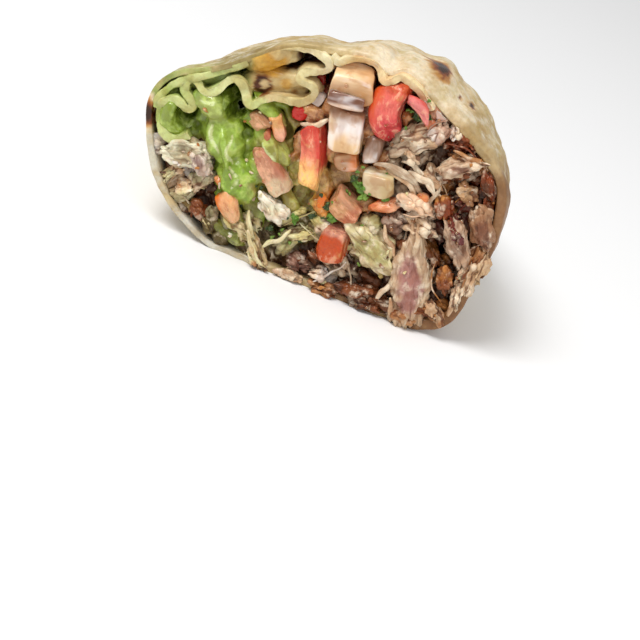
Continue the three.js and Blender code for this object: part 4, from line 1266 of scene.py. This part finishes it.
# Chunks at the cut: size, place, turn, colour at one end, colour at the other.
CHUNKS = [
    ((15.5, 8, 8.4), (19.4, 1.6, 48.8), 36, GREY, BEIGE), ((5.4, 5, 4.6), (23.4, 0.4, 52), 70, WHITE, MAUVE),
    ((5.4, 5, 4.2), (27.2, 0.6, 54), 80, WHITE, CREAM), ((7.4, 6, 4.8), (31, 1, 51.6), -8, RUSSET, BROWN),
    ((11, 5, 3.2), (33.2, 0.2, 48.2), 8, TAN, CREAM), ((9, 6, 4.4), (26.2, 1.2, 40.4), -24, CREAM, BEIGE),
    ((9.4, 7, 5), (31.8, 1.6, 44.2), 16, BARK, BROWN), ((12, 7, 4.6), (40.6, 1.2, 44), -56, RUSSET, BARK),
    ((6.6, 6, 5.8), (36.2, 0.2, 40.4), -20, (188, 150, 110), (170, 128, 90)),
    ((9.8, 6, 6.6), (25.2, 0.6, 33), -4, (244, 224, 198), (244, 208, 174)),
    ((9.4, 6, 6.4), (28.8, 0.6, 28.2), -10, (232, 206, 170), CREAM),
    ((6.4, 6, 4.6), (32, 1.0, 35.2), -50, GOLD, RUSSET),
    ((8.4, 6, 4), (37.2, 1.2, 31.4), -48, (104, 40, 34), BARK),
    ((8.4, 6, 5.6), (39.2, 0.8, 17.4), -56, GOLD, BROWN),
    ((5.6, 5, 4.6), (22.6, 0.6, 25.8), -30, (186, 160, 140), (150, 116, 100)),
    ((11, 6, 8), (17, 1.8, 19.2), -26, GREENISH, LIME_CREAM),
    ((10, 6, 5.6), (23, 1.6, 14.6), -40, LIME_CREAM, GREENISH),
    ((11, 5, 4.2), (0.6, 1.2, 12.8), 38, (230, 224, 178), (214, 208, 144)),
    ((8.8, 6, 4.6), (3.2, 1.0, 5.8), 6, (104, 70, 60), (150, 112, 96)),
    ((5.4, 5, 3.4), (9.4, 0.8, 5.6), 20, CREAM, WHITE),
    ((13, 5, 3.6), (-7.4, -0.2, 5.4), -52, (190, 176, 124), (206, 180, 134)),
    ((10, 6, 5), (-13.6, 1.4, 8.8), -30, (214, 208, 144), (230, 224, 178)),
    ((10, 6, 5.6), (-32.6, 1.0, 21.2), 48, WHITE, CREAM),
    ((8.6, 6, 4.4), (-27.4, 0.8, 20.4), -36, (208, 200, 186), (190, 172, 150)),
    ((9, 6, 4.4), (-30.2, 1.2, 14), 20, BEIGE, LIME_CREAM),
    ((9.6, 6, 4), (-26.2, 1.4, 9.4), -16, (126, 110, 58), BROWN),
    ((6, 5, 3.4), (-22, 0.8, 7), -34, LIME_CREAM, (120, 104, 56)),
    ((8, 5, 3.4), (-34.6, 1.2, 15.6), 60, LIME_CREAM, BEIGE), ((11, 6, 4), (19, 0.4, 5.6), 6, BARK, BROWN),
    ((10, 6, 4), (28.6, 0.2, 4.6), -6, (104, 58, 30), BARK), ((9, 6, 4), (38.4, 0.4, 7.6), 16, BROWN, GOLD),
    ((11, 6, 4), (44, 1.2, 24.6), -98, TAN, BROWN), ((8, 5, 4), (8.2, 1.8, 9.6), -10, BROWN, GREY),
    ((9, 6, 5), (13.6, 1.6, 10.6), -40, BARK, GREY), ((7, 6, 4), (42.2, 1.4, 39.2), -70, RUSSET, BARK),
    ((8, 5, 4), (-3, 1.8, 17), 50, LIME_CREAM, GREENISH), ((7, 5, 4), (5, 1.6, 18.4), -20, GREENISH, CREAM),
    ((8, 5, 4), (26, 2, 21), -70, BROWN, GREY), ((6, 5, 4), (37.6, 1.4, 48), -30, GOLD, RUSSET),
    ((8, 6, 4), (34.4, 2.2, 37.6), 30, BARK, WINE), ((6, 4, 3.4), (20.4, 0.4, 43.4), -30, BEIGE, CREAM),
    ((6, 5, 4), (22, 1.8, 38.6), 10, BROWN, BEIGE),
]
chunks = [meat(*spec, 60 + k, 8 * math.sin(3 * k)) for k, spec in enumerate(CHUNKS)]


def flake(size, at, turn, seed, middle, edge):
    """A large soft flake of lean meat: smooth and pink in the middle, pale and frayed round its edge."""
    piece, local = ball(size, 0.85, seed, 0.3, 5)
    local[:, 2] *= 1 - 0.4 * smooth(0.15, 0.5, -local[:, 0] / size[0])
    keep_grain(piece, local, seed)
    put(piece, local, at, turn, 4)
    crest, tears = fibrous(piece, local, size, seed, 0.26, 1.5, 0.6)
    mark(piece, "crest", np.maximum(crest, 0.2))
    rim = np.hypot(local[:, 0] / size[0], local[:, 2] / size[2]) * 2 + 0.4 * tears
    colour(piece, blend(linear(middle), smooth(0.45, 0.85, rim), edge))
    return piece


# Size, place, turn towards the broad end, seed, colour in the middle, colour round the edge.
FLAKES = [
    ((25, 7, 10.2), (31.4, 0.2, 13.6), -72, 46, (172, 124, 116), (204, 178, 146)),
    ((15, 6, 8.6), (19.4, 0.6, 17.6), -30, 47, (180, 172, 114), (212, 200, 154)),
    ((13, 5, 5), (38.8, -0.2, 27), 124, 48, (152, 122, 102), (192, 164, 138)),
    ((12, 6, 6), (43, 0.2, 33.2), 122, 49, (130, 86, 64), (164, 124, 92)),
    ((10, 5, 4), (31, 0, 45.8), 28, 50, (164, 124, 102), (206, 180, 150)),
    ((8.6, 5, 5), (-7.6, 0, 17.8), -24, 51, (226, 220, 190), (236, 232, 214)),
    ((12, 6, 7), (-33, 0.6, 22.8), 20, 52, (188, 182, 150), (226, 224, 196)),
    ((6.4, 5, 5), (-28.6, -0.4, 22), -60, 53, (158, 136, 130), (206, 190, 176)),
]
# Shreds that lie over the chunks, and chunks that hang over the rim, low on the right.
SHREDS = [
    ((7, 4, 2.8), (36.4, -1.6, 31), -45, WINE, (96, 30, 40)),
    ((11.5, 4.4, 3), (45.4, -0.8, 20), -87, BEIGE, CREAM),
    ((8.4, 4, 2.8), (43, -0.6, 20.4), -93, CREAM, BEIGE),
]
RIM_CHUNKS = [
    ((9, 4.4, 4), (44, -0.6, 13.6), -76, CREAM, BEIGE), ((9, 4.4, 4.6), (40.6, -0.8, 7.6), -40, BEIGE, TAN),
    ((9, 4.4, 4), (33, -0.8, 3.6), -10, BROWN, TAN), ((10, 4.4, 4), (23, -0.8, 2.6), 4, BARK, BROWN),
    ((9, 4.4, 4), (12.6, -0.8, 2.6), 0, TAN, BROWN), ((8, 4, 3.4), (2.4, -0.6, 2.4), 2, CREAM, BEIGE),
    ((10, 4.4, 4), (47, -0.4, 23.6), -88, BEIGE, (216, 190, 150)),
    ((7, 4, 3), (-7, -0.6, 2.8), -30, LIME_CREAM, TAN),
]
chunks += [flake(*spec) for spec in FLAKES]
chunks += [meat(*spec, 170 + k) for k, spec in enumerate(SHREDS)]
chunks += [meat(*spec, 150 + k) for k, spec in enumerate(RIM_CHUNKS)]
pork = [join("pork_chunks", chunks[0::2]), join("pork_pieces", chunks[1::2])]
for piece in pork:
    keep_inside(piece, SHEET + 0.2, spill=True)

HEAP_FRONT = 3.2               # mm, how far behind the cut the heap between the chunks lies
HEAP_HOLLOWS = [
    (36.4, 23.2, 4, 13), (31.4, 42.6, 2.8, 10), (22.6, 23.4, 2, 9), (-4.8, 11.8, 2.4, 9), (39, 42, 1.6, 8),
]
HEAP_DABS = [
    (-5, 14, 10, (126, 116, 66)), (16, 18, 8, (126, 112, 66)), (30, 30, 10, BROWN), (40, 40, 9, RUSSET),
]
HEAP_PAINTED_SHADE = 0.6               # its shade against that of the chunks in front
heap = core_of("pulled_pork", "pork_heap", 3)
points = points_of(heap)
pushed_back = HEAP_FRONT - 0.12 * (HEAP_FRONT - points[:, 1])
points[:, 1] = np.where(points[:, 1] < HEAP_FRONT, pushed_back, points[:, 1])
set_points(heap, points)
sink(heap, HEAP_HOLLOWS)
points = points_of(heap)
keep_grain(heap, points[:, [2, 0, 1]] + 0.35 * points[:, [0, 2, 1]], 9)
fibres = np.minimum(1, 2.6 * np.abs(noise_at(points * (0.35, 0.6, 0.35) + 0.6)))
set_points(heap, points + outward(heap) * (1.5 * (fibres - 0.4) * at_front(points))[:, None])
mark(heap, "crest", fibres)
# Painted shade: the heap is darkened so that the gaps between the chunks read dark.
colour(heap, HEAP_PAINTED_SHADE * dabbed(points, BARK, HEAP_DABS))

# Smaller pieces fill the gaps between the chunks, wherever the heap shows, in their neighbours' colours
# darkened with painted shade, less so low in the middle where lit is set.
FILLER_SPACING = 5.6           # mm
FILLER_FRONT = 7.0             # mm: the heap doesn't show where it lies deeper than this
scatter = np.random.default_rng(5)
fillers = []
middles = np.array([(spec[1][0], spec[1][2]) for spec in CHUNKS])
for x in np.arange(-44, 48, FILLER_SPACING):
    for z in np.arange(4, 62, FILLER_SPACING):
        spot = np.array((x, -20, z)) + scatter.uniform(-1.6, 1.6, 3) * (1, 0, 1)
        hit, place, _, _ = heap.ray_cast(Vector(spot * MM) + CUT, Vector((0, 1, 0)), distance=0.1)
        depth = (place.y - CUT.y) / MM
        if not hit or depth > FILLER_FRONT:
            continue
        near = CHUNKS[int(np.argmin(np.hypot(*(middles - (spot[0], spot[2])).T)))]
        lit = 0.18 * (-12 < x < 24 and z < 26)
        shades = [linear(shade) * scatter.uniform(0.3 + lit, 0.8 + lit) for shade in near[3:]]
        size = scatter.uniform((6, 4, 4), (11, 5.4, 6.6))
        at = (spot[0], depth + scatter.uniform(-0.6, 0.6), spot[2])
        turn = near[2] + scatter.normal(0, 35)
        fillers.append(meat(size, at, turn, *shades, 200 + len(fillers), detail=4))
fillers = join("pork_bits", fillers)
keep_inside(fillers, SHEET + 0.2)

# Loose strands lie over and between the chunks, most of them along the chunk they came off.
SIDES = 8                      # of a strand's tube
RINGS = 14


def turned_in_cut(x, z, degrees):
    """A place in the cut face, turned about the middle."""
    angle = math.radians(degrees)
    return x * math.cos(angle) - z * math.sin(angle), x * math.sin(angle) + z * math.cos(angle)


def strand_mesh(specs, name):
    """Strands of meat in one mesh, each a flat tapered tube bent to a line of its own.

    A spec is place, turn, length, width, thickness, bend, seed and colour.
    """
    along = np.linspace(0, 1, RINGS)
    around = np.linspace(0, 2 * math.pi, SIDES, endpoint=False)
    spots, faces, grains, crests, tints = [], [], [], [], []
    for at, turn, length, width, thick, bend, seed, shade in specs:
        drift = np.stack([along * length / 4, np.full(RINGS, seed), np.zeros(RINGS)], axis=1)
        sideways, forth = noise_at(drift), noise_at(drift + (0, 0, 9))
        x = (along - 0.5) * length
        z = bend * ((2 * along - 1) ** 2 - 0.4) + 0.9 * sideways
        y = 1.1 * forth + 0.5 * abs(bend) * (2 * along - 1) ** 2
        taper = np.sin(math.pi * (0.06 + 0.88 * along)) ** 0.6 * (1 + 0.35 * forth)
        ring = np.stack([
            np.repeat(x[:, None], SIDES, 1),
            y[:, None] + 0.5 * thick * taper[:, None] * np.sin(around),
            z[:, None] + 0.5 * width * taper[:, None] * np.cos(around),
        ], axis=2).reshape(-1, 3)
        turned = ring.copy()
        turned[:, 0], turned[:, 2] = turned_in_cut(ring[:, 0], ring[:, 2], turn)
        first = len(spots) * RINGS * SIDES
        for a in range(first, first + (RINGS - 1) * SIDES, SIDES):
            for s in range(SIDES):
                b = (s + 1) % SIDES
                faces.append((a + s, a + b, a + b + SIDES, a + s + SIDES))
        faces.append(tuple(first + s for s in reversed(range(SIDES))))
        faces.append(tuple(first + (RINGS - 1) * SIDES + s for s in range(SIDES)))
        spots.append(turned + np.array(at))
        grains.append(ring + 17.3 * seed)
        # The finish lays painted shade where crest is low, more on the tube's flat faces than at its edges.
        crests.append(np.tile(0.25 + 0.75 * np.abs(np.cos(around)), RINGS))
        tints.append(np.tile(linear(shade), (RINGS * SIDES, 1)))
    mesh = bpy.data.meshes.new(name)
    mesh.from_pydata((np.vstack(spots) * MM + CUT).tolist(), [], faces)
    piece = bpy.data.objects.new(name, mesh)
    bpy.context.scene.collection.objects.link(piece)
    pick(piece)
    bpy.ops.object.mode_set(mode="EDIT")
    bpy.ops.mesh.select_all(action="SELECT")
    bpy.ops.mesh.normals_make_consistent(inside=False)
    bpy.ops.object.mode_set(mode="OBJECT")
    bpy.ops.object.shade_smooth()
    keep_grain(piece, np.vstack(grains), 0)
    mark(piece, "crest", np.concatenate(crests))
    colour(piece, np.vstack(tints))
    return piece


strands = [
    ((19, -1.4, 38.6), -12, 14, 2.4, 0.9, -2.4, 1, GREY),
    ((20.8, -1.0, 36.8), -24, 11, 1.7, 0.8, -1.6, 2, BEIGE),
    ((26, -1.0, 39.4), -30, 9, 1.1, 0.7, 0.6, 3, CREAM), ((28.4, -0.8, 37), 84, 9, 1.1, 0.7, 0.4, 4, GREY),
    ((24.6, -1.4, 39.4), -19, 9, 2.0, 0.8, -0.8, 17, CREAM),
    ((21.8, -0.6, 41), -24, 8, 1.6, 0.8, -1.4, 18, GREY),
    ((33.4, -1.6, 49.8), 6, 10, 1.4, 1.0, 0.8, 5, TAN), ((40.2, -1.2, 26.6), -44, 12, 1.5, 0.9, 0.5, 6, TAN),
    ((44.2, -1.0, 20), -76, 12, 1.4, 1.0, 0.4, 7, TAN), ((46.6, -0.6, 25), -96, 11, 1.4, 1.0, 0.3, 8, BROWN),
    ((-7.6, -2.0, 5), -52, 13, 1.6, 1.0, 0.4, 9, LIME_CREAM),
    ((-11, -1.2, 11), -60, 9, 1.5, 1.1, 0.6, 10, LIME_CREAM),
    ((26.6, -1.8, 9), -112, 8, 1.5, 1.1, 0.4, 11, CREAM), ((30, -2.0, 4.4), -60, 7, 1.4, 1.0, 0.6, 12, BEIGE),
    ((-3.6, -1.0, 10.4), 56, 9, 1.4, 1.0, 0.5, 13, LIME_CREAM),
    ((22.6, -1.4, 21.4), -50, 9, 1.5, 1.0, 0.7, 14, BEIGE),
    ((-5.4, -1.4, 42.6), 30, 7, 1.6, 1.1, 0.8, 15, CREAM),
    ((-5, -1.6, 40.6), -30, 6, 1.4, 1.0, 0.5, 16, CREAM),
]
STRAND_SHADE = 0.85            # a strand's shade against its chunk's
draw = np.random.default_rng(7)
# A thin strand lies on every other chunk, and has come off it.
for chunk in range(1, len(CHUNKS), 2):
    size, at, turn, shade, other = CHUNKS[chunk]
    off = draw.uniform(-0.5, 0.5, 2) * (size[0], size[2])
    aside, above = turned_in_cut(off[0], off[1], turn)
    spot = (at[0] + aside, at[1] - size[1] * 0.5 + draw.uniform(0.2, 1.8), at[2] + above)
    tone = linear((shade, other)[draw.integers(0, 4) % 2]) * STRAND_SHADE
    turn += draw.normal(0, 24)
    measures = [draw.uniform(*span) for span in ((7, 13), (0.35, 0.7), (0.35, 0.55))]
    strands.append((spot, turn, *measures, draw.normal(0, 1.3), 100 + 5 * chunk, tone))
strands = strand_mesh(strands, "pork_strands")
keep_inside(strands, SHEET + 0.1)
for piece in (*pork, heap, fillers, strands):
    piece.data.materials.append(pork_finish)
    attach(piece, "root")
    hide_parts("pulled_pork")

# ---------- crumbs and juice ----------
# Beads of juice stand on the wet dice and on the meat, and crumbs of crisp meat stick to whatever
# they fell on. The beads are clear and round, and the crumbs are dry and torn.

BEADS = 84
CRUMBS = 80
CRUMB_SHADES = (GOLD, BROWN, CREAM, BARK, LIME_CREAM)

juice_finish, tree, shader = new_finish("juice", {
    "Roughness": 0.04, "IOR": 1.35, "Transmission Weight": 0.75, "Coat Weight": 0.5, "Coat Roughness": 0.03,
})
cloud = speckle(tree, millimetres(tree), 0.6)
ground = mixed(tree, stepped(tree, cloud, 0.4, 0.6), (226, 150, 84), (246, 214, 176))
tree.links.new(ground, shader.inputs["Base Color"])


def seats(pieces, count, seed, front=1.5):
    """Random points on the pieces' surfaces towards the cut, with the way out of the surface there."""
    found = []
    for piece in pieces:
        points, ways = points_of(piece), outward(piece)
        shown = (points[:, 1] < front) & (ways[:, 1] < -0.45)
        found.append(np.hstack([points[shown], ways[shown]]))
    found = np.vstack(found)
    return found[np.random.default_rng(seed).choice(len(found), count, replace=False)]


drop = np.random.default_rng(11)
beads = []
for k, seat in enumerate(seats([tomatoes, onions, salsa, pork[0]], BEADS, 12)):
    width = drop.uniform(0.35, 1.1)
    size = (width, width, width * drop.uniform(0.8, 1.5))
    beads.append(lump(size, seat[:3] + 0.1 * width * seat[3:], drop.uniform(-60, 60), 1, 300 + k, 0.1, 3))
beads = join("juice_beads", beads)
crumbs = []
for k, seat in enumerate(seats([guacamole, onions, tomatoes, pork[0], pork[1], salsa], CRUMBS, 13)):
    size = drop.uniform((0.8, 0.6, 0.5), (2.2, 1.1, 1.1))
    piece, local = chopped(size, 400 + k, 3, 0.5, 0.9, 0.4, 0.4)
    keep_grain(piece, local, k)
    put(piece, local, seat[:3] + 0.25 * size[1] * seat[3:], drop.uniform(-90, 90), drop.uniform(-30, 30))
    mark(piece, "crest", 1)
    colour(piece, CRUMB_SHADES[k % len(CRUMB_SHADES)])
    crumbs.append(piece)
crumbs = join("meat_crumbs", crumbs)
beads.data.materials.append(juice_finish)
crumbs.data.materials.append(pork_finish)
for piece, slot in ((beads, "salsa"), (crumbs, "pork")):
    keep_inside(piece, SHEET)
    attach(piece, "root")
